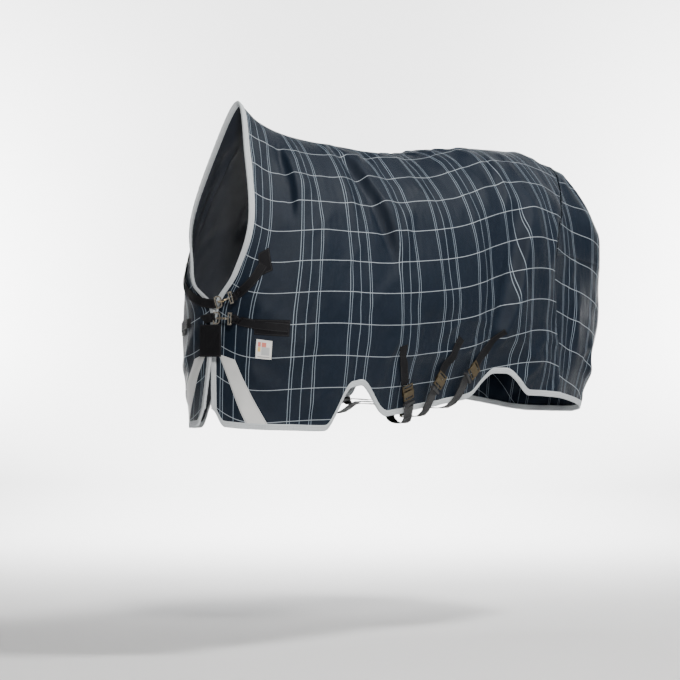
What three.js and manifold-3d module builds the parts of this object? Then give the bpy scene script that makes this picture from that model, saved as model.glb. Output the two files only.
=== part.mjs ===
import * as THREE from "three";
import { mergeVertices } from "three/addons/utils/BufferGeometryUtils.js";
import Module from "manifold-3d";

// A high-necked horse rug in millimetres. +X runs back to the tail, +Y to the horse's right and
// +Z up. The origin is on the spine line at the withers.

// Overall sizes
const rugLength = 1930; // chest to the back of the rump, straight
const rugWidth = 680; // across the barrel
const rugDrop = 945; // withers to the front hem

// Cloth
const shellThickness = 3;
const liningThickness = 2;
const seamGap = 0.3; // between pieces that are sewn or rest on each other
const edgeGap = 0.8; // between a panel's edge and its binding
const laidGap = 2; // under a piece that is laid on the curved cloth
const patchThickness = 1.5;
const bindingWidth = 20;
const bindingProud = 1.5; // binding beyond the shell's face

// Hem: how far it rises, and over which stations of the chart
const frontArch = { rise: 128, from: 2.8, top: 3.35, topEnd: 3.5, to: 4.15 };
const rearArch = { rise: 72, from: 5.6, top: 6.05, topEnd: 6.25, to: 6.8 };
const chestCorner = { rise: 52, to: 0.4 };

// Chest overlap: the right front laps over the left
const lapWidth = 45;
const lapLift = 16;
const lapReach = 1.6; // stations over which the overlap fades out
const lapRows = { liftFrom: 2.5, liftTo: 3.4, shiftFrom: 3.3, shiftTo: 4.2 };

// Rear: the rump panel is sewn in along the seam, and the tail flap hangs below it
const ventRow = 2.6; // row of the chart where the side vent starts
const flapTuck = 24; // flap's width under the side panel
const flapInset = 14; // depth of the flap below the side panel's face
const flapRise = 1.2; // ribs over which the flap comes out level
const flapGap = 6; // between the rump panel's lower edge and the flap
const rumpGap = 2.5; // between the side panel's back edge and the rump panel

// Straps and hardware
const chestStrapWidth = 30;
const bellyStrapWidth = 38;
const strapThickness = 2;
const wireThickness = 4;
const slotWidth = 6; // webbing slot in each eye and plate
const hookClearance = 1; // between a moving piece and what it moves in
const stripWidth = 50;
const tabSize = { width: 96, height: 104, thickness: 4 };
const bellyLift = 88; // middle of the belly straps above the chart's front hem
const strapLayer = 8; // one belly strap below the next where they cross

// The pattern chart. Each rib runs from the spine down to the hem, and the ribs run from the
// front edge back to the middle of the tail, for the chart's own size. Other sizes are graded.
const chartSize = { length: 1930, width: 680, drop: 945 };
const chart = [
  [
    [-503, 0, 125], [-545, 75, -50], [-585, 130, -270], [-608, 85, -435],
    [-620, 12, -545], [-632, 12, -700], [-650, 30, -930],
  ],
  [
    [-420, 0, 65], [-455, 95, -70], [-515, 165, -270], [-560, 170, -435],
    [-585, 150, -570], [-592, 140, -740], [-590, 130, -940],
  ],
  [
    [-310, 0, 30], [-345, 115, -70], [-405, 205, -250], [-455, 245, -430],
    [-485, 250, -590], [-492, 240, -770], [-490, 225, -945],
  ],
  [
    [-180, 0, 12], [-205, 125, -70], [-260, 235, -250], [-310, 290, -450],
    [-335, 305, -610], [-345, 295, -780], [-350, 280, -945],
  ],
  [
    [-20, 0, 0], [-30, 120, -60], [-60, 250, -240], [-90, 315, -460],
    [-100, 320, -610], [-110, 300, -760], [-110, 270, -910],
  ],
  [
    [220, 0, -15], [210, 140, -55], [200, 280, -230], [190, 340, -470],
    [190, 335, -620], [190, 300, -750], [190, 260, -875],
  ],
  [
    [470, 0, 15], [465, 155, -30], [455, 290, -210], [450, 335, -460],
    [450, 330, -610], [450, 305, -730], [450, 280, -840],
  ],
  [
    [720, 0, 30], [715, 160, -15], [705, 295, -195], [700, 330, -450],
    [700, 330, -610], [700, 325, -735], [690, 310, -848],
  ],
  [
    [930, 0, 20], [925, 135, -25], [920, 255, -200], [905, 295, -450],
    [890, 300, -620], [880, 295, -745], [870, 285, -860],
  ],
  [
    [1100, 0, -30], [1110, 115, -70], [1130, 235, -260], [1140, 235, -470],
    [1110, 232, -640], [1075, 225, -770], [1045, 215, -885],
  ],
  [
    [1190, 0, -110], [1220, 60, -190], [1250, 115, -340], [1245, 120, -490],
    [1215, 120, -650], [1180, 120, -790], [1145, 120, -910],
  ],
  [
    [1200, 0, -120], [1245, 0, -210], [1280, 0, -350], [1275, 0, -490],
    [1250, 0, -650], [1215, 0, -790], [1180, 0, -915],
  ],
];
const lastRib = chart.length - 1;
const lastRow = chart[0].length - 1;
const grade = new THREE.Vector3(
  rugLength / chartSize.length,
  rugWidth / chartSize.width,
  rugDrop / chartSize.drop,
);
const chartPoints = chart.map((rib) =>
  rib.map(([x, y, z]) => new THREE.Vector3(x, -y, z).multiply(grade)),
);

const wasm = await Module();
wasm.setup();

const smooth = (x, from, to) => THREE.MathUtils.smoothstep(x, from, to);
const clamp = THREE.MathUtils.clamp;
const lerp = THREE.MathUtils.lerp;
const steps = (count) => Array.from({ length: count + 1 }, (_, i) => i / count);

// ---- Form of the cloth ----

// The chart carried on one place past each edge: mirrored across the spine and the middle of
// the tail, straight on past the front edge and the hem.
function chartAt(rib, row) {
  if (rib < 0) return chartAt(0, row).clone().multiplyScalar(2).sub(chartAt(1, row));
  if (rib > lastRib) {
    const back = chartAt(2 * lastRib - rib, row).clone();
    back.y *= -1;
    return back;
  }
  if (row < 0) {
    const across = chartAt(rib, -row).clone();
    across.y *= -1;
    return across;
  }
  if (row > lastRow) {
    return chartAt(rib, lastRow).clone().multiplyScalar(2).sub(chartAt(rib, lastRow - 1));
  }
  return chartPoints[rib][row];
}

function splineWeights(t) {
  const t2 = t * t;
  const t3 = t2 * t;
  return [
    (-t + 2 * t2 - t3) / 2,
    (2 - 5 * t2 + 3 * t3) / 2,
    (t + 4 * t2 - 3 * t3) / 2,
    (t3 - t2) / 2,
  ];
}

// The left half's form at rib u and row v, by Catmull-Rom both ways.
function formPoint(u, v) {
  const rib = clamp(Math.floor(u), 0, lastRib - 1);
  const row = clamp(Math.floor(v), 0, lastRow - 1);
  const along = splineWeights(u - rib);
  const down = splineWeights(v - row);
  const point = new THREE.Vector3();
  along.forEach((a, i) =>
    down.forEach((d, j) => point.addScaledVector(chartAt(rib - 1 + i, row - 1 + j), a * d)),
  );
  return point;
}

const spineBand = 0.01; // rows either side of the spine where the cloth faces straight up

// Point on one side's cloth, raised by lift along the outward normal. side is -1 on the left
// and 1 on the right, where the chest overlap moves the front across and outwards.
function clothFrame(side, u, v) {
  const at = Math.min(u, lastRib - 0.02);
  const under = Math.max(v, 0.02);
  const reach = 0.01;
  const alongU = formPoint(at + reach, under).sub(formPoint(at - reach, under));
  const downV = formPoint(at, under + reach).sub(formPoint(at, under - reach));
  const normal = downV.cross(alongU).normalize();
  if (u === lastRib) normal.set(normal.x, 0, normal.z).normalize();
  if (v < spineBand) normal.set(normal.x, 0, normal.z).normalize();
  const point = formPoint(u, v);
  if (side > 0) {
    point.y *= -1;
    normal.y *= -1;
    const fade = 1 - smooth(u, 0, lapReach);
    point.y -= lapWidth * fade * smooth(v, lapRows.shiftFrom, lapRows.shiftTo);
    point.addScaledVector(normal, lapLift * fade * smooth(v, lapRows.liftFrom, lapRows.liftTo));
  }
  return { point, normal };
}

function cloth(side, u, v, lift) {
  const { point, normal } = clothFrame(side, u, v);
  return point.addScaledVector(normal, lift);
}

const archShape = (u, { from, top, topEnd, to }) =>
  u < topEnd ? smooth(u, from, top) : 1 - smooth(u, topEnd, to);

const rowDepth = (u) => formPoint(u, lastRow - 1).z - formPoint(u, lastRow).z;

// Row at which the hem lies at rib u.
function hemRow(u) {
  const rise =
    frontArch.rise * archShape(u, frontArch) +
    rearArch.rise * archShape(u, rearArch) +
    chestCorner.rise * (1 - smooth(u, 0, chestCorner.to));
  return lastRow - rise / rowDepth(u);
}

const hemInset = (u, width) => width / rowDepth(u);

// Ribs that a width takes up at rib u and row v.
function ribInset(u, v, width) {
  const rib = Math.floor(u);
  return width / formPoint(rib, v).distanceTo(formPoint(rib + 1, v));
}
const frontInset = (v, width) => ribInset(0, v, width);

// Rib of the side panel's back edge at row v: the rump seam, and below ventRow the vent.
const rumpSeam = new THREE.SplineCurve([
  new THREE.Vector2(0, 8.9),
  new THREE.Vector2(1, 8.5),
  new THREE.Vector2(2, 7.85),
  new THREE.Vector2(ventRow, 7.35),
  new THREE.Vector2(4.2, 7.5),
  new THREE.Vector2(lastRow, 7.75),
]);
const seamTable = rumpSeam.getPoints(80);
function backRib(v) {
  const next = seamTable.findIndex((p) => p.x >= Math.min(v, lastRow));
  if (next <= 0) return seamTable[0].y;
  const [a, b] = [seamTable[next - 1], seamTable[next]];
  return lerp(a.y, b.y, (v - a.x) / (b.x - a.x));
}

// ---- Solids ----

function closedGeometry(triangles) {
  const geometry = new THREE.BufferGeometry();
  const sound = triangles.filter(
    ([a, b, c]) => a.distanceTo(b) > 1e-3 && b.distanceTo(c) > 1e-3 && c.distanceTo(a) > 1e-3,
  );
  geometry.setFromPoints(sound.flat());
  let volume = 0;
  sound.forEach(([a, b, c]) => (volume += a.dot(b.clone().cross(c))));
  const merged = mergeVertices(geometry, 1e-3);
  if (volume < 0) merged.index.array.reverse();
  return merged;
}

const quad = (a, b, c, d) => [[a, b, c], [a, c, d]];

// A closed sheet between two grids of points.
function sheetTriangles(outer, inner) {
  const rows = outer.length - 1;
  const columns = outer[0].length - 1;
  const triangles = [];
  for (let i = 0; i < rows; i++) {
    for (let j = 0; j < columns; j++) {
      triangles.push(...quad(outer[i][j], outer[i + 1][j], outer[i + 1][j + 1], outer[i][j + 1]));
      triangles.push(...quad(inner[i][j], inner[i][j + 1], inner[i + 1][j + 1], inner[i + 1][j]));
    }
  }
  for (let i = 0; i < rows; i++) {
    triangles.push(...quad(outer[i][0], inner[i][0], inner[i + 1][0], outer[i + 1][0]));
    triangles.push(
      ...quad(outer[i + 1][columns], inner[i + 1][columns], inner[i][columns], outer[i][columns]),
    );
  }
  for (let j = 0; j < columns; j++) {
    triangles.push(...quad(outer[0][j + 1], inner[0][j + 1], inner[0][j], outer[0][j]));
    triangles.push(...quad(outer[rows][j], inner[rows][j], inner[rows][j + 1], outer[rows][j + 1]));
  }
  return triangles;
}

// A piece laid on the cloth: place(a, b) gives side, u and v, and the piece fills the space
// from lift to lift + thickness above the form.
function laidPiece(place, across, down, lift, thickness) {
  const grid = (height) =>
    down.map((b) =>
      across.map((a) => {
        const { side, u, v, sink = 0 } = place(a, b);
        return cloth(side, u, v, lift + height - sink);
      }),
    );
  return closedGeometry(sheetTriangles(grid(thickness), grid(0)));
}

// A flat strap along a list of frames, each with a point, the outward normal and the width.
function strapPiece(frames, width, thickness) {
  const side = (offset, height) =>
    frames.map(({ point, normal }, i) => {
      const before = frames[Math.max(i - 1, 0)].point;
      const after = frames[Math.min(i + 1, frames.length - 1)].point;
      const across = after.clone().sub(before).cross(normal).normalize();
      return point.clone().addScaledVector(across, offset).addScaledVector(normal, height);
    });
  const outer = [side(-width / 2, thickness), side(width / 2, thickness)];
  const inner = [side(-width / 2, 0), side(width / 2, 0)];
  return closedGeometry(sheetTriangles(outer, inner));
}

function solidFrom(geometry) {
  const bare = geometry.clone();
  bare.deleteAttribute("normal");
  bare.deleteAttribute("uv");
  const merged = mergeVertices(bare, 1e-4);
  return new wasm.Manifold(
    new wasm.Mesh({
      numProp: 3,
      vertProperties: new Float32Array(merged.attributes.position.array),
      triVerts: new Uint32Array(merged.index.array),
    }),
  );
}

function geometryFrom(solid) {
  const mesh = solid.getMesh();
  const geometry = new THREE.BufferGeometry();
  geometry.setAttribute("position", new THREE.BufferAttribute(mesh.vertProperties, 3));
  geometry.setIndex(new THREE.BufferAttribute(mesh.triVerts, 1));
  return geometry;
}

const joined = (...geometries) =>
  geometryFrom(geometries.map(solidFrom).reduce((all, next) => all.add(next)));

// An outline's points in the turning sense that ExtrudeGeometry takes.
const anticlockwise = (points) =>
  THREE.ShapeUtils.isClockWise(points) ? points.slice().reverse() : points;

// A flat plate from an outline with holes, standing on z = 0 of its own frame.
function plate(outline, holes, thickness) {
  const shape = new THREE.Shape(anticlockwise(outline));
  shape.holes = holes.map((hole) => new THREE.Path(anticlockwise(hole)));
  return new THREE.ExtrudeGeometry(shape, { depth: thickness, bevelEnabled: false, curveSegments: 6 });
}

// A rectangle's corners about (x, y).
function rectangle(length, width, x = 0, y = 0) {
  return [
    [-1, -1],
    [1, -1],
    [1, 1],
    [-1, 1],
  ].map(([i, j]) => new THREE.Vector2(x + (i * length) / 2, y + (j * width) / 2));
}

// Points on a circle about (x, y), between two angles in degrees.
function arc(x, y, radius, from, to, count) {
  return steps(count).map((t) => {
    const angle = THREE.MathUtils.degToRad(lerp(from, to, t));
    return new THREE.Vector2(x + radius * Math.cos(angle), y + radius * Math.sin(angle));
  });
}

// ---- The scene ----

const rug = new THREE.Group();

const finishes = {
  plaid: { color: 0x232c38, roughness: 0.75 },
  lining: { color: 0x1a1f27, roughness: 0.8 },
  binding: { color: 0xb9bec2, roughness: 0.8 },
  webbing: { color: 0x111214, roughness: 0.8 },
  reflective: { color: 0xd6d9da, roughness: 0.5 },
  label: { color: 0xe8e6e0, roughness: 0.7 },
  nickel: { color: 0xc4c0b6, roughness: 0.25, metalness: 1 },
  rubber: { color: 0x1b1b1b, roughness: 0.9 },
};

function add(name, geometry, finish, parent = rug) {
  const mesh = new THREE.Mesh(geometry, new THREE.MeshStandardMaterial(finishes[finish]));
  mesh.name = name;
  parent.add(mesh);
  return mesh;
}

// A group whose own x runs along, whose own z is the outward normal and which stands at point.
function localGroup(point, along, normal) {
  const z = normal.clone().normalize();
  const x = along.clone().addScaledVector(z, -along.dot(z)).normalize();
  const group = new THREE.Group();
  group.setRotationFromMatrix(new THREE.Matrix4().makeBasis(x, z.clone().cross(x), z));
  group.position.copy(point);
  rug.add(group);
  return group;
}

const sides = { left: -1, right: 1 };

// Stations along the cloth, as shares of a side panel's length: close together over the arches
// and the chest corner.
const panelEnd = backRib(lastRow);
const stationStep = { plain: 0.5, least: 0.06, inArch: 9 };
function stations() {
  const found = new Set([chestCorner.to / 2, chestCorner.to]);
  for (let u = 0; u < panelEnd - stationStep.plain / 2; u += stationStep.plain) found.add(u);
  for (const { from, to } of [frontArch, rearArch]) {
    for (const t of steps(stationStep.inArch)) found.add(lerp(from, to, t));
  }
  const ordered = [...found, panelEnd].sort((a, b) => a - b);
  const apart = ordered.filter((u, i) => i === 0 || u - ordered[i - 1] > stationStep.least);
  return apart.map((u) => u / panelEnd);
}

const acrossSide = stations();
const spineRow = (u) => seamGap / formPoint(u, 0).distanceTo(formPoint(u, 1));

const bindingInset = (u) => hemInset(u, bindingWidth + edgeGap);
const clothRow = (u, b) => lerp(spineRow(u), hemRow(u) - bindingInset(u), b);

// Shares of the way down a panel, closer together round the bottom of the neck. One of them
// meets the top of the vent.
const panelDepth = hemRow(panelEnd) - bindingInset(panelEnd);
const downSide = [0, 0.1, 0.2, 0.3, 0.38, ventRow / panelDepth, 0.52, 0.59, 0.66, 0.72, 0.81, 0.9, 1];
const frontEdgeRow = (b) => clothRow(chestCorner.to / 2, b);
const backEdgeRow = (b) => clothRow(panelEnd, b);

// Place on a side panel: a runs from the front binding to the back edge, b from spine to hem.
function sidePlace(side, a, b) {
  const front = frontInset(frontEdgeRow(b), bindingWidth + edgeGap);
  const u = lerp(front, backRib(backEdgeRow(b)), a);
  return { side, u, v: clothRow(u, b) };
}

// The front binding follows the panel's rows, and its last step covers the hem binding's depth.
function frontBindingPlace(side, a, b) {
  const u = a * frontInset(frontEdgeRow(Math.min(b, 1)), bindingWidth);
  return { side, u, v: b > 1 ? hemRow(u) : clothRow(u, b) };
}

function hemBindingPlace(side, a, b) {
  const front = frontInset(frontEdgeRow(1), bindingWidth + edgeGap);
  const u = lerp(front, backRib(backEdgeRow(1)), a);
  return { side, u, v: hemRow(u) - hemInset(u, bindingWidth) * (1 - b) };
}

for (const [name, side] of Object.entries(sides)) {
  const panel = (a, b) => sidePlace(side, a, b);
  add(`shell_${name}`, laidPiece(panel, acrossSide, downSide, 0, shellThickness), "plaid");
  const liningLift = -seamGap - liningThickness;
  add(`lining_${name}`, laidPiece(panel, acrossSide, downSide, liningLift, liningThickness), "lining");
  const bindingDepth = shellThickness + liningThickness + 2 * bindingProud;
  const bindingLift = -liningThickness - bindingProud;
  add(
    `front_binding_${name}`,
    laidPiece((a, b) => frontBindingPlace(side, a, b), [0, 1], [...downSide, 2], bindingLift, bindingDepth),
    "binding",
  );
  add(
    `hem_binding_${name}`,
    laidPiece((a, b) => hemBindingPlace(side, a, b), acrossSide, [0, 1], bindingLift, bindingDepth),
    "binding",
  );
}

// ---- Rump panel and tail flap ----

// The side and rib at share t of the way from rib start on the left, round the tail, to the
// same rib on the right.
function roundTail(start, t) {
  const half = 2 * Math.abs(t - 0.5);
  return { side: t < 0.5 ? -1 : 1, u: t === 0.5 ? lastRib : lerp(lastRib, start, half) };
}

function rumpHalf(side) {
  const down = [0, ...downSide.slice(1).map(backEdgeRow).filter((v) => v < 0.98 * ventRow), ventRow];
  const across = steps(8);
  const grid = (lift) =>
    across.map((a) =>
      down.map((v) => {
        const start = backRib(v) + ribInset(backRib(v), v, rumpGap);
        return cloth(side, lerp(lastRib, start, 1 - a), v, lift);
      }),
    );
  return { outer: grid(shellThickness), inner: grid(0) };
}

// The two halves share the spine line and the line down the middle of the tail, so only the
// seam and the lower edge have walls.
function rumpPanel() {
  const triangles = [];
  for (const side of [-1, 1]) {
    const { outer, inner } = rumpHalf(side);
    const last = outer.length - 1;
    const low = outer[0].length - 1;
    const turned = (faces) => (side < 0 ? faces : faces.map(([a, b, c]) => [a, c, b]));
    for (let i = 0; i < last; i++) {
      for (let j = 0; j < low; j++) {
        triangles.push(
          ...turned(quad(outer[i][j], outer[i][j + 1], outer[i + 1][j + 1], outer[i + 1][j])),
          ...turned(quad(inner[i][j], inner[i + 1][j], inner[i + 1][j + 1], inner[i][j + 1])),
        );
      }
      triangles.push(
        ...turned(quad(outer[i][low], inner[i][low], inner[i + 1][low], outer[i + 1][low])),
      );
    }
    for (let j = 0; j < low; j++) {
      triangles.push(...turned(quad(outer[0][j], inner[0][j], inner[0][j + 1], outer[0][j + 1])));
    }
  }
  return closedGeometry(triangles);
}
add("rump_panel", rumpPanel(), "plaid");

// The flap is tucked under the side panels, and comes level with the rump panel at the tail.
function flapPlace(t, from, to, b) {
  const v = lerp(from, to, b);
  const tuck = ribInset(backRib(v), v, flapTuck) * smooth(v, ventRow, ventRow + 1);
  const { side, u } = roundTail(backRib(v) - tuck, t);
  const sink = flapInset * (1 - smooth(u, backRib(v), backRib(v) + flapRise));
  return { side, u, v: Math.min(v, hemRow(u)), sink };
}

const acrossFlap = steps(20);
const flapTop = ventRow + hemInset(lastRib, flapGap);
const flapHem = lastRow - hemInset(lastRib, bindingWidth);
add(
  "tail_flap",
  laidPiece((a, b) => flapPlace(a, flapTop, flapHem, b), acrossFlap, steps(7), 0, shellThickness),
  "plaid",
);
add(
  "tail_flap_binding",
  laidPiece(
    (a, b) => flapPlace(a, flapHem + hemInset(lastRib, seamGap), lastRow, b),
    acrossFlap,
    [0, 1],
    -bindingProud,
    shellThickness + 2 * bindingProud,
  ),
  "binding",
);

// ---- Patches, strips and labels sewn on the shell ----

const onShell = shellThickness + laidGap;

// A four-sided patch between four (rib, row) corners.
function patchPlace(side, [a0, b0, c0, d0]) {
  return (s, t) => {
    const top = [lerp(a0[0], b0[0], s), lerp(a0[1], b0[1], s)];
    const bottom = [lerp(d0[0], c0[0], s), lerp(d0[1], c0[1], s)];
    return { side, u: lerp(top[0], bottom[0], t), v: lerp(top[1], bottom[1], t) };
  };
}

const shoulderPatch = [[0.72, 2.62], [1.05, 2.5], [1.28, 2.98], [0.95, 3.1]];
const sidePatch = [[1.05, 4.1], [1.85, 4.02], [1.85, 4.32], [1.08, 4.4]];
const labelPatch = [[1.15, 4.47], [1.5, 4.45], [1.5, 4.78], [1.15, 4.82]];
for (const [name, side] of Object.entries(sides)) {
  const lay = (corners) =>
    laidPiece(patchPlace(side, corners), steps(2), steps(2), onShell, patchThickness);
  add(`shoulder_patch_${name}`, lay(shoulderPatch), "webbing");
  add(`side_patch_${name}`, lay(sidePatch), "webbing");
}
add(
  "care_label",
  laidPiece(patchPlace(-1, labelPatch), steps(2), steps(2), onShell, 0.6),
  "label",
);

// A reflective strip from the chest down to the hem binding, on each front.
function stripPlace(side, a, b) {
  const topRib = 0.42;
  const v = lerp(4.95, hemRow(1.25) - hemInset(1.25, bindingWidth + 4 * seamGap), b);
  const middle = lerp(topRib, 1.22, b);
  const perRib = formPoint(1, v).distanceTo(formPoint(0, v));
  const slant = 1.25; // a slanted strip is this much wider along the hem than square across
  return { side, u: middle + ((a - 0.5) * stripWidth * slant) / perRib, v };
}
for (const [name, side] of Object.entries(sides)) {
  add(
    `reflective_strip_${name}`,
    laidPiece((a, b) => stripPlace(side, a, b), steps(2), steps(6), onShell, 0.8),
    "reflective",
  );
}

// ---- Chest fastenings ----

// A strap lies on the cloth from one place to another, then rises to a free end.
const strapOverPatch = 2;
const onPatch = onShell + patchThickness + strapOverPatch;
function strapFrames(side, path, count) {
  return steps(count).map((t) => {
    const span = t * (path.length - 1);
    const leg = Math.min(Math.floor(span), path.length - 2);
    const u = lerp(path[leg][0], path[leg + 1][0], span - leg);
    const v = lerp(path[leg][1], path[leg + 1][1], span - leg);
    const { point, normal } = clothFrame(side, u, v);
    return { point: point.addScaledVector(normal, onPatch), normal };
  });
}

const snap = { eye: 10, neck: 30, loop: 12, bore: 7.5, gate: 3.4 }; // loop and bore are radii
const snapLength = snap.neck + 2 * snap.loop; // eye bar to the far side of the hook
const ringLength = 26;
const ringWidth = chestStrapWidth + 2 * wireThickness + 2;
const eyeWidth = chestStrapWidth + 2 * wireThickness + 2;
const hookThickness = 6;

// The hook stands square to the chest: its profile is drawn in x (along) and z (outwards). It
// curls from the shank round to the mouth, in degrees.
const hookCurl = { from: 195, mouth: 430 };
const mouthCosine = Math.cos(THREE.MathUtils.degToRad(hookCurl.mouth));
const shankEnd = snap.neck - 2;
function hookProfile() {
  const centre = snapLength - snap.loop;
  return [
    new THREE.Vector2(snap.eye, -hookThickness / 2),
    new THREE.Vector2(shankEnd, -hookThickness / 2),
    ...arc(centre, 0, snap.loop, hookCurl.from, hookCurl.mouth, 14),
    ...arc(centre, 0, snap.bore, hookCurl.mouth, hookCurl.from, 10),
    new THREE.Vector2(shankEnd, hookThickness / 2),
    new THREE.Vector2(snap.eye, hookThickness / 2),
  ];
}

function upright(outline, thickness) {
  const geometry = plate(outline, [], thickness);
  geometry.translate(0, 0, -thickness / 2);
  return geometry.rotateX(Math.PI / 2);
}

function snapHook() {
  const eye = plate(
    rectangle(slotWidth + 2 * wireThickness, eyeWidth, slotWidth / 2, 0),
    [rectangle(slotWidth, eyeWidth - 2 * wireThickness, slotWidth / 2, 0)],
    wireThickness,
  ).translate(0, 0, -wireThickness / 2);
  return joined(eye, upright(hookProfile(), hookThickness));
}

// The gate closes the hook's mouth on the outer side, with a thumb spur behind its pivot.
const gatePivot = new THREE.Vector2(
  snap.neck + 1.2,
  hookThickness / 2 + snap.gate / 2 + hookClearance,
);
const gateTip = new THREE.Vector2(
  snapLength - snap.loop + snap.bore * mouthCosine - 1.5 * hookClearance,
  snap.loop - snap.gate / 2 - hookClearance,
);
function snapGate() {
  const reach = gateTip.clone().sub(gatePivot);
  const along = reach.clone().normalize();
  const across = new THREE.Vector2(-along.y, along.x).multiplyScalar(snap.gate / 2);
  const spur = gatePivot.clone().addScaledVector(along, -7).add(new THREE.Vector2(0, 5));
  const outline = [
    gatePivot.clone().sub(across),
    gateTip.clone().sub(across),
    gateTip.clone().add(across),
    gatePivot.clone().add(across).addScaledVector(along, 3),
    spur,
    gatePivot.clone().addScaledVector(along, -2),
  ];
  return upright(outline, hookThickness - 2);
}

function ringGeometry() {
  const inner = ringWidth / 2 - wireThickness;
  const corner = 8;
  const outline = (half, length, turn) => [
    new THREE.Vector2(length, -half),
    ...arc(turn, -half + turn, turn, 270, 180, 5),
    ...arc(turn, half - turn, turn, 180, 90, 5),
    new THREE.Vector2(length, half),
  ];
  const outer = outline(ringWidth / 2, ringLength, corner + wireThickness);
  const hole = outline(inner, ringLength - wireThickness, corner).map(
    (p) => new THREE.Vector2(p.x + (p.x < ringLength - wireThickness ? wireThickness : 0), p.y),
  );
  return plate(outer, [hole], wireThickness).translate(0, 0, -wireThickness / 2);
}

// The lower set hangs a ring's width and a gap below the upper one, and the tab below that.
const setGap = 29;
const tabUnderRing = 2; // how far the tab's top reaches up behind the lower ring
const tabGap = 1; // between the tab and the binding of the right front
const upperStart = new THREE.Vector3(-604, -96, -517).multiply(grade);
const lowerStart = upperStart.clone().add(new THREE.Vector3(-3, 2, -ringWidth - setGap));
const chestSets = {
  upper: {
    leftPath: [[0.98, 2.85], [0.75, 3.25], [0.52, 3.6]],
    rightPath: [[0.98, 2.85], [0.75, 3.25], [0.5, 3.6], [0.25, 3.85]],
    start: upperStart,
    along: new THREE.Vector3(-0.19, 1, -0.3),
  },
  lower: {
    leftPath: [[1.82, 4.17], [1.2, 4.2], [0.72, 4.2]],
    rightPath: [[1.82, 4.17], [1.3, 4.2], [0.95, 4.2]],
    start: lowerStart,
    along: new THREE.Vector3(-0.19, 1, 0.05),
  },
};
const chestOut = new THREE.Vector3(-1, -0.19, 0).normalize();
const standOff = 28 * grade.x; // of the fastenings from the cloth's front
const strapRise = 2; // how far a chest strap bows out on its way to the fastening
const tabHeight = lowerStart.z - (ringWidth + tabSize.height) / 2 + tabUnderRing;
const tabFoot = tabHeight - tabSize.height / 2;
const footRow = lastRow - (tabFoot - formPoint(0, lastRow).z) / rowDepth(0);
const tabProud = lapLift + shellThickness + bindingProud + tabGap + tabSize.thickness / 2;
const tabMiddle = new THREE.Vector3(formPoint(0, footRow).x - tabProud, -30 * grade.y, tabHeight);

for (const [level, set] of Object.entries(chestSets)) {
  const start = set.start.clone().addScaledVector(chestOut, standOff);
  const group = localGroup(start, set.along, chestOut);
  add(`${level}_snap_hook`, snapHook(), "nickel", group);
  add(`${level}_snap_gate`, snapGate(), "nickel", group);
  const ring = add(`${level}_ring`, ringGeometry(), "nickel", group);
  ring.position.x = snapLength - snap.loop - wireThickness / 2;
  group.updateMatrix();
  const end = new THREE.Vector3(ring.position.x + ringLength + seamGap, 0, 0);
  const ringEnd = end.applyMatrix4(group.matrix);
  const along = new THREE.Vector3().setFromMatrixColumn(group.matrix, 0);
  const straps = [
    ["left", -1, set.leftPath, start, -2 * wireThickness],
    ["right", 1, set.rightPath, ringEnd, 1],
  ];
  for (const [name, side, path, goal, gap] of straps) {
    const frames = strapFrames(side, path, 6);
    const last = frames[frames.length - 1];
    const stop = goal.clone().addScaledVector(along, gap);
    const lead = stop.clone().addScaledVector(along, 8 * Math.sign(gap));
    const middle = last.point.clone().lerp(lead, 0.5).addScaledVector(chestOut, strapRise);
    frames.push(
      { point: middle, normal: last.normal.clone().lerp(chestOut, 0.5) },
      { point: lead, normal: chestOut },
      { point: stop, normal: chestOut },
    );
    add(`${level}_strap_${name}`, strapPiece(frames, chestStrapWidth, strapThickness), "webbing");
  }
}

// Flat hook-and-loop tab that closes the chest below the clips.
const tab = new THREE.BoxGeometry(tabSize.thickness, tabSize.width, tabSize.height);
const chestTab = add("chest_tab", tab, "webbing");
chestTab.position.copy(tabMiddle);

// ---- Belly surcingles ----

// Each strap is sewn down the left side to its slot plate. The loose strap hooks into the plate,
// crosses under the belly and ends on the right side. All three swing on one line there.
const swing = new THREE.Vector3(0, 316, -800).multiply(grade);
const bellyDepth = (bellyLift - chartSize.drop) * grade.z;
const surcingles = [
  { path: [[4.2, 4.4], [4.28, 4.85], [4.35, 5.3]], rightRib: 5.65 },
  { path: [[5.2, 4.2], [5.06, 4.65], [4.94, 5.08]], rightRib: 5.0 },
  { path: [[6.05, 4.1], [5.83, 4.55], [5.6, 4.97]], rightRib: 4.35 },
];
const plateRim = 4; // metal round each slot
const webbingSlot = bellyStrapWidth + 2; // slot's width for the belly webbing
const plateSize = { length: 34, width: webbingSlot + 3 * plateRim, thickness: 3 };
const headSlot = { length: 12, width: 30 };
const headSize = { length: 6, width: 24, thickness: 3 };
const neckSize = { length: 5, width: 7 };
const bodySize = { length: 30, width: webbingSlot + 2.5 * plateRim, thickness: 3 };
const hookGap = 0.8; // between the hook's head or body and the plate
const headSlotAt = plateSize.length / 2 - plateRim - headSlot.length / 2;
const hookEnd = headSlotAt + 0.9 * bodySize.length; // far edge of the hook's body
const stopLength = 8; // rubber ring along the strap
const sliderLength = 12;
const loopDepth = strapThickness + 6; // room for the webbing in a loop round it
const beltPlaces = { sliders: [12, 10, 12], ring: 1 }; // frames of each belly strap where they sit
const beltSteps = 30;
const swingGap = 6; // between the belly strap's end and the swing line
const hemTurn = { clear: 0.37 * bellyStrapWidth, start: 4, under: 28 }; // belly strap round a hem

function slotPlate() {
  return plate(
    rectangle(plateSize.length, plateSize.width),
    [
      rectangle(slotWidth, webbingSlot, plateRim + (slotWidth - plateSize.length) / 2),
      rectangle(headSlot.length, headSlot.width, headSlotAt),
    ],
    plateSize.thickness,
  );
}

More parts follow.
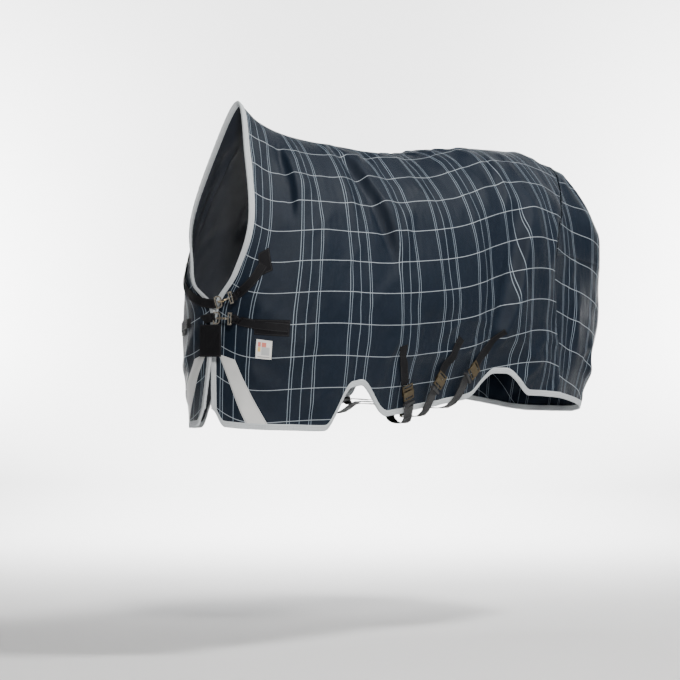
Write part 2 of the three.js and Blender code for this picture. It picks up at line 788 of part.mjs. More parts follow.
// The hook's head lies behind the plate, its neck passes through the slot, and its body lies in
// front and carries the webbing bar.
function tHook() {
  const { length, width, thickness } = headSize;
  const head = new THREE.BoxGeometry(length, width, thickness);
  head.translate(headSlotAt, 0, -hookGap - thickness / 2);
  const neckHeight = plateSize.thickness + hookGap + thickness;
  const neck = new THREE.BoxGeometry(neckSize.length, neckSize.width, neckHeight);
  neck.translate(headSlotAt, 0, plateSize.thickness / 2);
  const body = plate(
    rectangle(bodySize.length, bodySize.width, hookEnd - bodySize.length / 2),
    [rectangle(slotWidth, webbingSlot, hookEnd - plateRim - slotWidth / 2)],
    bodySize.thickness,
  ).translate(0, 0, plateSize.thickness + hookGap);
  return joined(head, neck, body);
}

// A belly strap's line from the left hem to the right one: the share of the way back or
// forward, y and z. It turns in under each hem and lies level in the middle.
function beltLine(leftHem, rightHem, middle) {
  const { clear, start, under } = hemTurn;
  return [
    [0.04, leftHem.y - clear, leftHem.z + start],
    [0.1, leftHem.y + clear, leftHem.z - under],
    [0.22, leftHem.y * 0.6, Math.min(leftHem.z - under, middle)],
    [0.37, leftHem.y * 0.27, middle],
    [0.5, 0, middle],
    [0.63, rightHem.y * 0.27, middle],
    [0.78, rightHem.y * 0.6, Math.min(rightHem.z - under, middle)],
    [0.9, rightHem.y - clear, rightHem.z - under],
    [0.96, rightHem.y + clear, rightHem.z + start],
  ];
}

surcingles.forEach(({ path, rightRib }, i) => {
  const number = i + 1;
  const frames = strapFrames(-1, path, 6);
  add(`side_strap_${number}`, strapPiece(frames, bellyStrapWidth, strapThickness), "webbing");
  const last = frames[frames.length - 1];
  const along = last.point.clone().sub(frames[frames.length - 2].point).normalize();
  const out = last.normal.clone().addScaledVector(along, -last.normal.dot(along)).normalize();
  const plateMiddle = last.point
    .clone()
    .addScaledVector(along, plateSize.length / 2 + seamGap)
    .addScaledVector(out, 9);
  const group = localGroup(plateMiddle, along, out);
  add(`slot_plate_${number}`, slotPlate(), "nickel", group);
  add(`t_hook_${number}`, tHook(), "nickel", group);

  // Belly strap: down past the hem, under the belly and up to the swing line on the right.
  group.updateMatrix();
  const onHook = new THREE.Vector3(hookEnd + plateRim, 0, plateSize.thickness + hookGap);
  const from = onHook.applyMatrix4(group.matrix);
  const lead = from.clone().addScaledVector(along, 2 * stopLength + 6);
  const right = swing.clone().setX(formPoint(rightRib, lastRow - 1).x);
  const leftHem = formPoint(path[2][0], hemRow(path[2][0]));
  const rightHem = formPoint(rightRib, hemRow(rightRib)).multiply(new THREE.Vector3(1, -1, 1));
  const low = (surcingles.length - 1 - i) * strapLayer;
  const line = beltLine(leftHem, rightHem, bellyDepth - low);
  const curve = new THREE.CatmullRomCurve3([
    lead,
    ...line.map(([share, y, z]) => new THREE.Vector3(lerp(lead.x, right.x, share), y, z)),
    right.clone().add(new THREE.Vector3(0, swingGap, -swingGap)),
  ]);
  const beltFrames = curve.getSpacedPoints(beltSteps).map((point, k, points) => {
    const next = points[Math.min(k + 1, beltSteps)].clone().sub(points[Math.max(k - 1, 0)]);
    const normal = new THREE.Vector3(0, next.z, -next.y).normalize();
    return { point, normal };
  });
  const leadFrames = [0, 0.45, 0.9].map((t) => ({ point: from.clone().lerp(lead, t), normal: out }));
  beltFrames.unshift(...leadFrames);
  add(`belly_strap_${number}`, strapPiece(beltFrames, bellyStrapWidth, strapThickness), "webbing");

  // Length adjuster on the belly strap, and the rubber ring behind the hook. Each is a loop
  // round the webbing.
  const strapLoop = (length) => {
    const outline = rectangle(bellyStrapWidth + 7, loopDepth + 5, 0, strapThickness / 2);
    const hole = rectangle(bellyStrapWidth + 3, loopDepth, 0, strapThickness / 2);
    const loop = plate(outline, [hole], length).translate(0, 0, -length / 2);
    return loop.rotateX(Math.PI / 2).rotateZ(Math.PI / 2);
  };
  const placeOn = (k) => {
    const here = beltFrames[k];
    const next = beltFrames[k + 1].point.clone().sub(here.point);
    return localGroup(here.point, next, here.normal);
  };
  add(`strap_slider_${number}`, strapLoop(sliderLength), "nickel", placeOn(beltPlaces.sliders[i]));
  add(`stop_ring_${number}`, strapLoop(stopLength), "rubber", placeOn(beltPlaces.ring));

  // Anchor strap sewn down the right side to the swing line.
  const anchorPath = [[rightRib, 4.35], [rightRib, 4.7], [rightRib, 5.0]];
  const anchorFrames = strapFrames(1, anchorPath, 6);
  add(`anchor_strap_${number}`, strapPiece(anchorFrames, bellyStrapWidth, strapThickness), "webbing");
});

export default rug;
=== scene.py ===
import math

import bpy
import numpy as np
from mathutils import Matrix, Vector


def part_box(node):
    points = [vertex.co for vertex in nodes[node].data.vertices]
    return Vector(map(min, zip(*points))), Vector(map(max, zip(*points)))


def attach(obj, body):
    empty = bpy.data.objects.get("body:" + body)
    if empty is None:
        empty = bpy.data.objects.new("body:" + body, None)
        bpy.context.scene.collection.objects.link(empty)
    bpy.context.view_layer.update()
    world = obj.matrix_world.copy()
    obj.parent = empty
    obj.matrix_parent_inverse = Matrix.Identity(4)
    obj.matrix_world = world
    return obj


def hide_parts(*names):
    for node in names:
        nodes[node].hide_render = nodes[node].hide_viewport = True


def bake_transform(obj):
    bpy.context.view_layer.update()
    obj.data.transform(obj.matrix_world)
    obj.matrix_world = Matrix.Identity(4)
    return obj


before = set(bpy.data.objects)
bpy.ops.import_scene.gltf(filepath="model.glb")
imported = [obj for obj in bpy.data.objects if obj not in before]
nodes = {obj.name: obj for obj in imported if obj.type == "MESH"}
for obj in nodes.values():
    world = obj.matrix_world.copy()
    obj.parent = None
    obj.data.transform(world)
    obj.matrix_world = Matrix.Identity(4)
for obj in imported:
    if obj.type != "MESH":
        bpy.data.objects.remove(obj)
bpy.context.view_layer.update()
mm = 0.001

# Camera, from the horse's left front, level with the middle of the flank.
view = {"lens": 146.4, "sensor": 36.0, "azimuth": -48.0, "distance": 9.4, "height": -0.67, "shift": 0.0074}


def placeCamera():
    data = bpy.data.cameras.new("camera")
    data.lens = view["lens"]
    data.sensor_width = view["sensor"]
    data.shift_y = view["shift"]
    camera = bpy.data.objects.new("camera", data)
    turn = math.radians(view["azimuth"])
    camera.location = (
        view["distance"] * math.sin(turn),
        -view["distance"] * math.cos(turn),
        view["height"],
    )
    camera.rotation_euler = (math.radians(90), 0, turn)
    bpy.context.scene.collection.objects.link(camera)
    bpy.context.scene.camera = camera


placeCamera()
print("camera placed")

# The cloth's form: ribs from the spine to the hem, from the front edge back to the tail, in mm.
ribs = np.array(
    [
        [
            (-503, 0, 125), (-545, 75, -50), (-585, 130, -270), (-608, 85, -435),
            (-620, 12, -545), (-632, 12, -700), (-650, 30, -930),
        ],
        [
            (-420, 0, 65), (-455, 95, -70), (-515, 165, -270), (-560, 170, -435),
            (-585, 150, -570), (-592, 140, -740), (-590, 130, -940),
        ],
        [
            (-310, 0, 30), (-345, 115, -70), (-405, 205, -250), (-455, 245, -430),
            (-485, 250, -590), (-492, 240, -770), (-490, 225, -945),
        ],
        [
            (-180, 0, 12), (-205, 125, -70), (-260, 235, -250), (-310, 290, -450),
            (-335, 305, -610), (-345, 295, -780), (-350, 280, -945),
        ],
        [
            (-20, 0, 0), (-30, 120, -60), (-60, 250, -240), (-90, 315, -460),
            (-100, 320, -610), (-110, 300, -760), (-110, 270, -910),
        ],
        [
            (220, 0, -15), (210, 140, -55), (200, 280, -230), (190, 340, -470),
            (190, 335, -620), (190, 300, -750), (190, 260, -875),
        ],
        [
            (470, 0, 15), (465, 155, -30), (455, 290, -210), (450, 335, -460),
            (450, 330, -610), (450, 305, -730), (450, 280, -840),
        ],
        [
            (720, 0, 30), (715, 160, -15), (705, 295, -195), (700, 330, -450),
            (700, 330, -610), (700, 325, -735), (690, 310, -848),
        ],
        [
            (930, 0, 20), (925, 135, -25), (920, 255, -200), (905, 295, -450),
            (890, 300, -620), (880, 295, -745), (870, 285, -860),
        ],
        [
            (1100, 0, -30), (1110, 115, -70), (1130, 235, -260), (1140, 235, -470),
            (1110, 232, -640), (1075, 225, -770), (1045, 215, -885),
        ],
        [
            (1190, 0, -110), (1220, 60, -190), (1250, 115, -340), (1245, 120, -490),
            (1215, 120, -650), (1180, 120, -790), (1145, 120, -910),
        ],
        [
            (1200, 0, -120), (1245, 0, -210), (1280, 0, -350), (1275, 0, -490),
            (1250, 0, -650), (1215, 0, -790), (1180, 0, -915),
        ],
    ],
    float,
) * mm * (1, -1, 1)
lastRib = len(ribs) - 1
lastRow = len(ribs[0]) - 1
mirror = np.array((1, -1, 1))
sides = {"left": -1, "right": 1}
across = np.concatenate([ribs[:, 1:2] * mirror, ribs, 2 * ribs[:, -1:] - ribs[:, -2:-1]], axis=1)
padded = np.concatenate([2 * across[:1] - across[1:2], across, across[-2:-1] * mirror], axis=0)


def smooth(x, start, end):
    t = np.clip((np.asarray(x, float) - start) / (end - start), 0, 1)
    return t * t * (3 - 2 * t)


# A bell curve: 1 at 0, falling away on both sides.
def bell(x):
    return np.exp(-(x**2))


def splineWeights(t):
    return np.stack(
        [
            (-t + 2 * t**2 - t**3) / 2,
            (2 - 5 * t**2 + 3 * t**3) / 2,
            (t + 4 * t**2 - 3 * t**3) / 2,
            (t**3 - t**2) / 2,
        ],
        -1,
    )


def formPoints(u, v):
    u, v = np.broadcast_arrays(np.asarray(u, float), np.asarray(v, float))
    rib = np.clip(np.floor(u), 0, lastRib - 1).astype(int)
    row = np.clip(np.floor(v), 0, lastRow - 1).astype(int)
    along = splineWeights(u - rib)
    down = splineWeights(v - row)
    point = np.zeros(u.shape + (3,))
    for i in range(4):
        for j in range(4):
            point += (along[..., i] * down[..., j])[..., None] * padded[rib + i, row + j]
    return point


# The right front laps over the left one: shifted across, and lifted clear.
lap = {"width": 0.045, "lift": 0.016, "reach": 1.6}


def unit(vectors):
    return vectors / np.maximum(np.linalg.norm(vectors, axis=-1, keepdims=True), 1e-12)


def clothFrames(side, u, v):
    u, v = np.broadcast_arrays(np.asarray(u, float), np.asarray(v, float))
    at = np.clip(u, -1, lastRib - 0.02)
    under = np.maximum(v, 0.02)
    reach = 0.01
    alongU = formPoints(at + reach, under) - formPoints(at - reach, under)
    downV = formPoints(at, under + reach) - formPoints(at, under - reach)
    normal = np.cross(downV, alongU)
    flat = 1 - smooth(v, 0.0, 0.06) * (1 - smooth(u, lastRib - 0.05, lastRib))
    normal[..., 1] *= 1 - flat
    normal = unit(normal)
    point = formPoints(u, v)
    if side > 0:
        point = point * mirror
        normal = normal * mirror
        fade = 1 - smooth(u, 0, lap["reach"])
        point[..., 1] -= lap["width"] * fade * smooth(v, 3.3, 4.2)
        point = point + normal * (lap["lift"] * fade * smooth(v, 2.5, 3.4))[..., None]
    return point, normal


arches = {
    "front": {"rise": 0.128, "from": 2.8, "top": 3.35, "topEnd": 3.5, "to": 4.15},
    "rear": {"rise": 0.072, "from": 5.6, "top": 6.05, "topEnd": 6.25, "to": 6.8},
}
corner = {"rise": 0.052, "to": 0.4}


def rowDepth(u):
    return formPoints(u, lastRow - 1)[..., 2] - formPoints(u, lastRow)[..., 2]


def hemRow(u):
    u = np.asarray(u, float)
    rise = corner["rise"] * (1 - smooth(u, 0, corner["to"]))
    for arch in arches.values():
        up = smooth(u, arch["from"], arch["top"])
        down = 1 - smooth(u, arch["topEnd"], arch["to"])
        rise = rise + arch["rise"] * np.where(u < arch["topEnd"], up, down)
    return lastRow - rise / rowDepth(u)


def ribLength(u, v):
    rib = np.floor(u)
    return np.linalg.norm(formPoints(rib + 1, v) - formPoints(rib, v), axis=-1)


# The side panel's back edge: the rump seam, then the vent. Rows against ribs.
ventRow = 2.6
seamRows = np.array([0, 1, 2, ventRow, 4.2, 6.0])
seamRibs = np.array([8.9, 8.5, 7.85, 7.35, 7.5, 7.75])


def seamTable():
    points = np.stack([seamRows, seamRibs], -1)
    ends = np.concatenate([points[:1], points, points[-1:]])
    t = np.linspace(0, len(points) - 1 - 1e-9, 400)
    leg = t.astype(int)
    weights = splineWeights(t - leg)
    return sum(weights[:, i : i + 1] * ends[leg + i] for i in range(4))


seam = seamTable()


def backRib(v):
    return np.interp(v, seam[:, 0], seam[:, 1])


# Folds. Each is a path of (rib, row) places with a width and height in metres. A pleat drops
# sharply on its front side, a ridge is the same on both.
folds = [
    {
        "path": [(1.60, 0.5), (1.70, 1.1), (1.80, 1.6), (1.86, 2.2)],
        "width": 0.055, "height": 0.014, "steep": 0.011,
    },
    {"path": [(1.30, 0.9), (1.38, 1.7), (1.42, 2.4)], "width": 0.030, "height": 0.004},
    {"path": [(1.95, 1.7), (2.10, 2.6), (2.10, 3.3)], "width": 0.050, "height": 0.005},
    {"path": [(2.45, 0.5), (2.65, 1.4), (2.75, 2.4), (2.80, 3.2)], "width": 0.055, "height": 0.005},
    {"path": [(3.05, 0.4), (3.28, 1.3), (3.42, 2.1)], "width": 0.050, "height": 0.007},
    {
        "path": [(3.50, 0.45), (3.78, 1.2), (3.95, 1.75), (4.12, 2.45), (4.22, 2.95)],
        "width": 0.085, "height": 0.024, "steep": 0.013,
    },
    {"path": [(4.60, 0.3), (4.72, 0.9), (4.75, 1.6), (4.70, 2.4)], "width": 0.045, "height": 0.007},
    {"path": [(4.35, 2.4), (4.75, 3.1), (5.30, 3.7)], "width": 0.085, "height": 0.006},
    {"path": [(5.00, 1.3), (5.35, 2.3), (5.75, 3.1)], "width": 0.070, "height": 0.007},
    {"path": [(5.55, 0.7), (5.85, 1.5), (6.15, 2.3)], "width": 0.050, "height": 0.007},
    {"path": [(6.55, 0.9), (6.45, 1.5), (6.30, 2.1)], "width": 0.035, "height": 0.008, "steep": 0.010},
    {
        "path": [(6.98, 1.7), (6.62, 2.35), (6.42, 2.85), (6.25, 3.45), (6.08, 4.1), (6.00, 4.9)],
        "width": 0.110, "height": 0.028, "steep": 0.021,
    },
    {"path": [(7.35, 1.0), (7.15, 1.9), (7.05, 2.9), (7.05, 4.2)], "width": 0.050, "height": 0.006},
    {"path": [(4.78, 0.12), (4.92, 0.50)], "width": 0.016, "height": 0.005},
    {"path": [(5.05, 0.10), (5.18, 0.62)], "width": 0.018, "height": 0.006},
    {"path": [(5.32, 0.14), (5.45, 0.52)], "width": 0.015, "height": 0.005},
    {"path": [(5.60, 0.10), (5.70, 0.66)], "width": 0.020, "height": 0.006},
    {"path": [(5.92, 0.12), (6.05, 0.50)], "width": 0.016, "height": 0.005},
    {"path": [(6.35, 0.14), (6.45, 0.60)], "width": 0.022, "height": 0.005},
    {"path": [(0.55, 3.9), (0.95, 3.45), (1.45, 3.25)], "width": 0.022, "height": 0.004},
    {"path": [(0.70, 4.5), (1.60, 4.75), (2.50, 4.70)], "width": 0.030, "height": 0.006},
    {"path": [(0.75, 4.9), (1.50, 5.25), (2.10, 5.30)], "width": 0.028, "height": 0.005},
    {"path": [(2.60, 4.6), (2.95, 5.3), (3.00, 5.8)], "width": 0.035, "height": 0.005},
    {"path": [(4.05, 4.1), (3.90, 4.9), (3.85, 5.5)], "width": 0.040, "height": 0.006},
    {"path": [(6.80, 4.5), (6.90, 5.2), (6.95, 5.9)], "width": 0.035, "height": 0.006},
]
rumpFolds = [
    {"path": [(9.2, 0.5), (8.9, 1.5), (8.4, 2.4)], "width": 0.045, "height": 0.005},
    {"path": [(9.9, 0.6), (9.9, 1.6), (9.7, 2.6)], "width": 0.040, "height": 0.005},
]
flapFolds = [
    {"path": [(8.3, 2.5), (8.25, 3.8), (8.4, 5.6)], "width": 0.045, "height": 0.007},
    {"path": [(9.3, 2.5), (9.2, 3.8), (9.3, 5.8)], "width": 0.050, "height": 0.010},
    {"path": [(10.2, 2.8), (10.1, 4.0), (10.1, 5.9)], "width": 0.040, "height": 0.008},
]
rowHeight = 0.19
ribSpan = np.concatenate([[0], np.cumsum(np.linalg.norm(np.diff(ribs[:, 3], axis=0), axis=1))])


def spread(u, v):
    return np.interp(u, np.arange(lastRib + 1), ribSpan), rowHeight * np.asarray(v, float)


# Height of one fold: a bell curve of the distance to its path, faded out towards both ends.
def foldHeight(x, y, fold):
    path = np.array(fold["path"], float)
    px, py = spread(path[:, 0], path[:, 1])
    legs = np.hypot(np.diff(px), np.diff(py))
    total = legs.sum()
    best = np.full(x.shape, 1e9)
    signed = np.zeros(x.shape)
    share = np.zeros(x.shape)
    walked = 0.0
    for i, leg in enumerate(legs):
        dx = (px[i + 1] - px[i]) / leg
        dy = (py[i + 1] - py[i]) / leg
        along = np.clip((x - px[i]) * dx + (y - py[i]) * dy, 0, leg)
        awayX = x - px[i] - along * dx
        awayY = y - py[i] - along * dy
        away = np.hypot(awayX, awayY)
        closer = away < best
        best = np.where(closer, away, best)
        signed = np.where(closer, away * np.sign(awayX * dy - awayY * dx), signed)
        share = np.where(closer, (walked + along) / total, share)
        walked += leg
    fade = smooth(share, 0, 0.3) * (1 - smooth(share, 0.7, 1.0))
    behind = bell(signed / fold["width"])
    if "steep" not in fold:
        return fold["height"] * fade * behind
    steep = fold["steep"]
    # The front side drops, dips below the cloth and comes back level.
    drop = signed / steep
    front = bell(drop) - 0.4 * bell((drop + 2.4) / 1.6) - 0.15 * bell((drop + 5) / 3)
    return fold["height"] * fade * np.where(signed > 0, behind, front)


# Soft unevenness: a few crossing waves of uneven length.
def waves(x, y, seed):
    made = np.zeros(x.shape)
    rng = np.random.default_rng(seed)
    for length in (0.34, 0.26, 0.19, 0.14, 0.10, 0.075):
        angle, phase = rng.uniform(-0.6, 0.6), rng.uniform(0, 6.28)
        swing = np.sin(2 * np.pi * (x * 1.3 + y * 2.1) + phase)
        along = x * math.cos(angle) + y * math.sin(angle)
        made += length * np.sin(2 * np.pi * along / length + swing + phase)
    return made


# Thin creases: a cosine raised to a high power leaves narrow ridges, here in patches and in
# several directions.
def creases(x, y, seed):
    made = np.zeros(x.shape)
    rng = np.random.default_rng(seed)
    for length in (0.42, 0.35, 0.29, 0.24, 0.21, 0.17):
        angle, phase, drift = rng.uniform(-0.9, 0.9), rng.uniform(0, 6.28), rng.uniform(0, 6.28)
        along = x * math.cos(angle) + y * math.sin(angle)
        over = y * math.cos(angle) - x * math.sin(angle)
        bend = 0.55 * np.sin(2 * np.pi * over / 0.47 + drift)
        ridge = np.abs(np.cos(np.pi * along / length + bend + phase)) ** 14
        down = np.sin(2 * np.pi * over / (2.1 * length) + phase)
        back = np.sin(2 * np.pi * along / 0.71 + drift)
        made += ridge * smooth(down * back, 0.0, 0.8) * (0.5 + length)
    return made


# How unevenly each side lies. The right side's folds are shifted, so the two don't match.
uneven = {
    -1: {"waves": 5, "creases": 11, "shift": 0.0},
    1: {"waves": 8, "creases": 14, "shift": 0.035},
}
unevenHeight = {"waves": 0.0042, "creases": 0.0062, "hem": 0.0045}


# How far the cloth stands off its form at a place.
def clothHeight(side, u, v, group=folds):
    u, v = np.broadcast_arrays(np.asarray(u, float), np.asarray(v, float))
    x, y = spread(u, v)
    shift = uneven[side]["shift"]
    made = sum(foldHeight(x + shift, y - shift, fold) for fold in group)
    calm = smooth(v, 0.0, 0.5) * smooth(u, 0, 0.35)
    made = made * smooth(v, 0.0, 0.12) * smooth(u, 0, 0.3)
    low = smooth(v, 4.2, 6.0) * unevenHeight["hem"] * np.sin(2 * np.pi * x / 0.31 + 0.9)
    soft = unevenHeight["waves"] * waves(x, y, uneven[side]["waves"])
    thin = unevenHeight["creases"] * creases(x, y, uneven[side]["creases"])
    return made + calm * (soft + thin) + low


def clothPoints(side, u, v, lift, group=folds):
    point, normal = clothFrames(side, u, v)
    height = clothHeight(side, u, v, group) + lift
    return point + normal * height[..., None], normal


# Two grids of shares from 0 to 1: down the rows, and over the columns.
def shareGrids(rows, columns):
    return np.meshgrid(np.linspace(0, 1, rows), np.linspace(0, 1, columns), indexing="ij")


# Length walked along a line of points.
def lengthAlong(line):
    return np.cumsum(np.linalg.norm(np.diff(line, axis=0, prepend=line[:1]), axis=-1))


# Quarter circle from 0 at a rim to 1 at the radius and beyond.
def rounded(fromRim, radius):
    return np.sqrt(1 - (1 - np.clip(fromRim / radius, 0, 1)) ** 2)


# Points at one place are welded, quads that lose a corner become triangles, and uvs (and the
# second layer, edges) go on by corner.
def meshFrom(name, vertices, quads, uvs, edges=None):
    welded, inverse = np.unique(np.round(vertices, 6), axis=0, return_inverse=True)
    corners = inverse.reshape(-1)[quads]
    sound = np.ones(len(corners), bool)
    for i in range(4):
        for j in range(i):
            sound &= corners[:, i] != corners[:, j]
    triangles = []
    for drop in range(4):
        same = corners[:, drop] == corners[:, drop - 1]
        keep = [k for k in range(4) if k != drop]
        triangles.append((corners[same][:, keep], quads[same][:, keep]))
    faces = [corners[sound].ravel()] + [t[0].ravel() for t in triangles]
    sources = [quads[sound].ravel()] + [t[1].ravel() for t in triangles]
    sizes = np.concatenate([np.full(sound.sum(), 4)] + [np.full(len(t[0]), 3) for t in triangles])
    loops = np.concatenate(faces).astype(np.int32)
    source = np.concatenate(sources)
    mesh = bpy.data.meshes.new(name)
    mesh.vertices.add(len(welded))
    mesh.vertices.foreach_set("co", welded.astype(np.float32).ravel())
    mesh.loops.add(len(loops))
    mesh.loops.foreach_set("vertex_index", loops)
    mesh.polygons.add(len(sizes))
    mesh.polygons.foreach_set("loop_start", np.concatenate([[0], np.cumsum(sizes)[:-1]]).astype(np.int32))
    mesh.update(calc_edges=True)
    mesh.uv_layers.new(name="cut").data.foreach_set("uv", uvs[source].astype(np.float32).ravel())
    if edges is not None:
        mesh.uv_layers.new(name="edge").data.foreach_set("uv", edges[source].astype(np.float32).ravel())
    mesh.validate()
    mesh.polygons.foreach_set("use_smooth", np.ones(len(mesh.polygons), bool))
    piece = bpy.data.objects.new(name, mesh)
    bpy.context.scene.collection.objects.link(piece)
    return piece


def gridQuads(rows, columns, turned=False, ringed=False):
    index = np.arange(rows * columns).reshape(rows, columns)
    if ringed:
        index = np.concatenate([index, index[:, :1]], axis=1)
    quads = np.stack([index[:-1, :-1], index[1:, :-1], index[1:, 1:], index[:-1, 1:]], -1).reshape(-1, 4)
    return quads[:, ::-1] if turned else quads


def gridPiece(name, points, uvs, turned=False, edges=None):
    rows, columns = points.shape[:2]
    quads = gridQuads(rows, columns, turned)
    flatEdges = None if edges is None else edges.reshape(-1, 2)
    return meshFrom(name, points.reshape(-1, 3), quads, uvs.reshape(-1, 2), flatEdges)


# A closed band: rings of points one after another, capped at both ends by pinching to the middle.
def bandPiece(name, rings, uvs):
    first = rings[:1].mean(axis=1, keepdims=True) * np.ones_like(rings[:1])
    last = rings[-1:].mean(axis=1, keepdims=True) * np.ones_like(rings[-1:])
    points = np.concatenate([first, rings, last])
    cut = np.concatenate([uvs[:1], uvs, uvs[-1:]])
    count, around = points.shape[:2]
    quads = gridQuads(count, around, ringed=True)
    ring = quads[len(quads) // 2 : len(quads) // 2 + around]
    a, b, c = (points.reshape(-1, 3)[ring[:, k]] for k in (0, 1, 2))
    middle = points[count // 2].mean(axis=0)
    outward = (np.cross(b - a, c - a) * ((a + c) / 2 - middle)).sum()
    if outward < 0:
        quads = quads[:, ::-1]
    return meshFrom(name, points.reshape(-1, 3), quads, cut.reshape(-1, 2))


def newNode(tree, kind, inputs=None, **settings):
    node = tree.nodes.new(kind)
    for key, value in settings.items():
        setattr(node, key, value)
    for key, value in (inputs or {}).items():
        if isinstance(value, bpy.types.NodeSocket):
            tree.links.new(value, node.inputs[key])
        else:
            node.inputs[key].default_value = value
    return node


def calc(tree, operation, a, b=0.0, c=0.0):
    node = newNode(tree, "ShaderNodeMath", {0: a, 1: b, 2: c}, operation=operation)
    return node.outputs[0]


def blendColour(tree, factor, a, b, kind="MIX"):
    node = newNode(tree, "ShaderNodeMix", {0: factor, 6: a, 7: b}, data_type="RGBA", blend_type=kind)
    return node.outputs[2]


def mapped(tree, value, low, high, toLow, toHigh, smoothly=True):
    node = newNode(
        tree,
        "ShaderNodeMapRange",
        {0: value, 1: low, 2: high, 3: toLow, 4: toHigh},
        interpolation_type="SMOOTHSTEP" if smoothly else "LINEAR",
    )
    return node.outputs[0]


def noise(tree, vector, scale, detail=4.0, rough=0.55):
    inputs = {"Vector": vector, "Scale": scale, "Detail": detail, "Roughness": rough}
    return newNode(tree, "ShaderNodeTexNoise", inputs).outputs["Fac"]


def newMaterial(name):
    material = bpy.data.materials.new(name)
    material.use_nodes = True
    tree = material.node_tree
    shader = tree.nodes["Principled BSDF"]
    return material, tree, shader


def objectPlace(tree):
    return newNode(tree, "ShaderNodeTexCoord").outputs["Object"]


# The cloudy mask sets the roughness between two values.
def dress(tree, shader, colour, cloudy, rough, normal):
    tree.links.new(colour, shader.inputs["Base Color"])
    tree.links.new(mapped(tree, cloudy, 0.3, 0.7, *rough), shader.inputs["Roughness"])
    tree.links.new(normal, shader.inputs["Normal"])


def uvPair(tree, layer):
    source = newNode(tree, "ShaderNodeUVMap", uv_map=layer).outputs[0]
    parts = newNode(tree, "ShaderNodeSeparateXYZ", {0: source})
    return source, parts.outputs[0], parts.outputs[1]


# 1 on a line at every period, else 0.
def lines(tree, coordinate, period, position, halfWidth, soft):
    turns = calc(tree, "DIVIDE", calc(tree, "SUBTRACT", coordinate, position), period)
    share = calc(tree, "FRACT", calc(tree, "ADD", turns, 0.5))
    near = calc(tree, "ABSOLUTE", calc(tree, "SUBTRACT", share, 0.5))
    distance = calc(tree, "MULTIPLY", near, period)
    return mapped(tree, distance, halfWidth - soft, halfWidth + soft, 1.0, 0.0)


def bumped(tree, height, strength, distance, normal=None):
    inputs = {"Height": height, "Strength": strength, "Distance": distance}
    if normal is not None:
        inputs["Normal"] = normal
    return newNode(tree, "ShaderNodeBump", inputs).outputs[0]


# Shared: a plain weave of crossing threads, from a coordinate pair in metres.
def weaveGroup():
    group = bpy.data.node_groups.new("weave", "ShaderNodeTree")
    group.interface.new_socket("Along", in_out="INPUT", socket_type="NodeSocketFloat")
    group.interface.new_socket("Across", in_out="INPUT", socket_type="NodeSocketFloat")
    group.interface.new_socket("Pitch", in_out="INPUT", socket_type="NodeSocketFloat")
    group.interface.new_socket("Height", in_out="OUTPUT", socket_type="NodeSocketFloat")
    source = newNode(group, "NodeGroupInput")
    a = calc(group, "DIVIDE", source.outputs[0], source.outputs[2])
    b = calc(group, "DIVIDE", source.outputs[1], source.outputs[2])
    sineA = calc(group, "SINE", calc(group, "MULTIPLY", a, 6.2832))
    sineB = calc(group, "SINE", calc(group, "MULTIPLY", b, 6.2832))
    twill = calc(group, "SINE", calc(group, "MULTIPLY", calc(group, "ADD", a, b), 3.1416))
    height = calc(group, "ADD", calc(group, "MULTIPLY", sineA, sineB), calc(group, "MULTIPLY", twill, 0.6))
    out = newNode(group, "NodeGroupOutput")
    group.links.new(height, out.inputs[0])
    return group


weave = weaveGroup()


def woven(tree, along, over, pitch):
    node = newNode(tree, "ShaderNodeGroup", node_tree=weave)
    tree.links.new(along, node.inputs[0])
    tree.links.new(over, node.inputs[1])
    node.inputs[2].default_value = pitch
    return node.outputs[0]


# A stitch row at a distance from an edge: short dashes along it.
def stitches(tree, along, fromEdge, at, pitch=0.0042, halfWidth=0.0006):
    away = calc(tree, "ABSOLUTE", calc(tree, "SUBTRACT", fromEdge, at))
    row = mapped(tree, away, halfWidth, halfWidth * 2, 1.0, 0.0)
    dash = lines(tree, along, pitch, 0.0, pitch * 0.33, pitch * 0.08)
    return calc(tree, "MULTIPLY", row, dash)


# In metres of cloth, but single and second are shares of the period.
plaid = {
    "period": 0.2,
    "pair": 0.0043,
    "single": 0.205,
    "second": 0.41,
    "cross": 0.104,
    "thin": 0.0009,
    "wide": 0.0010,
    "soft": 0.0005,
}


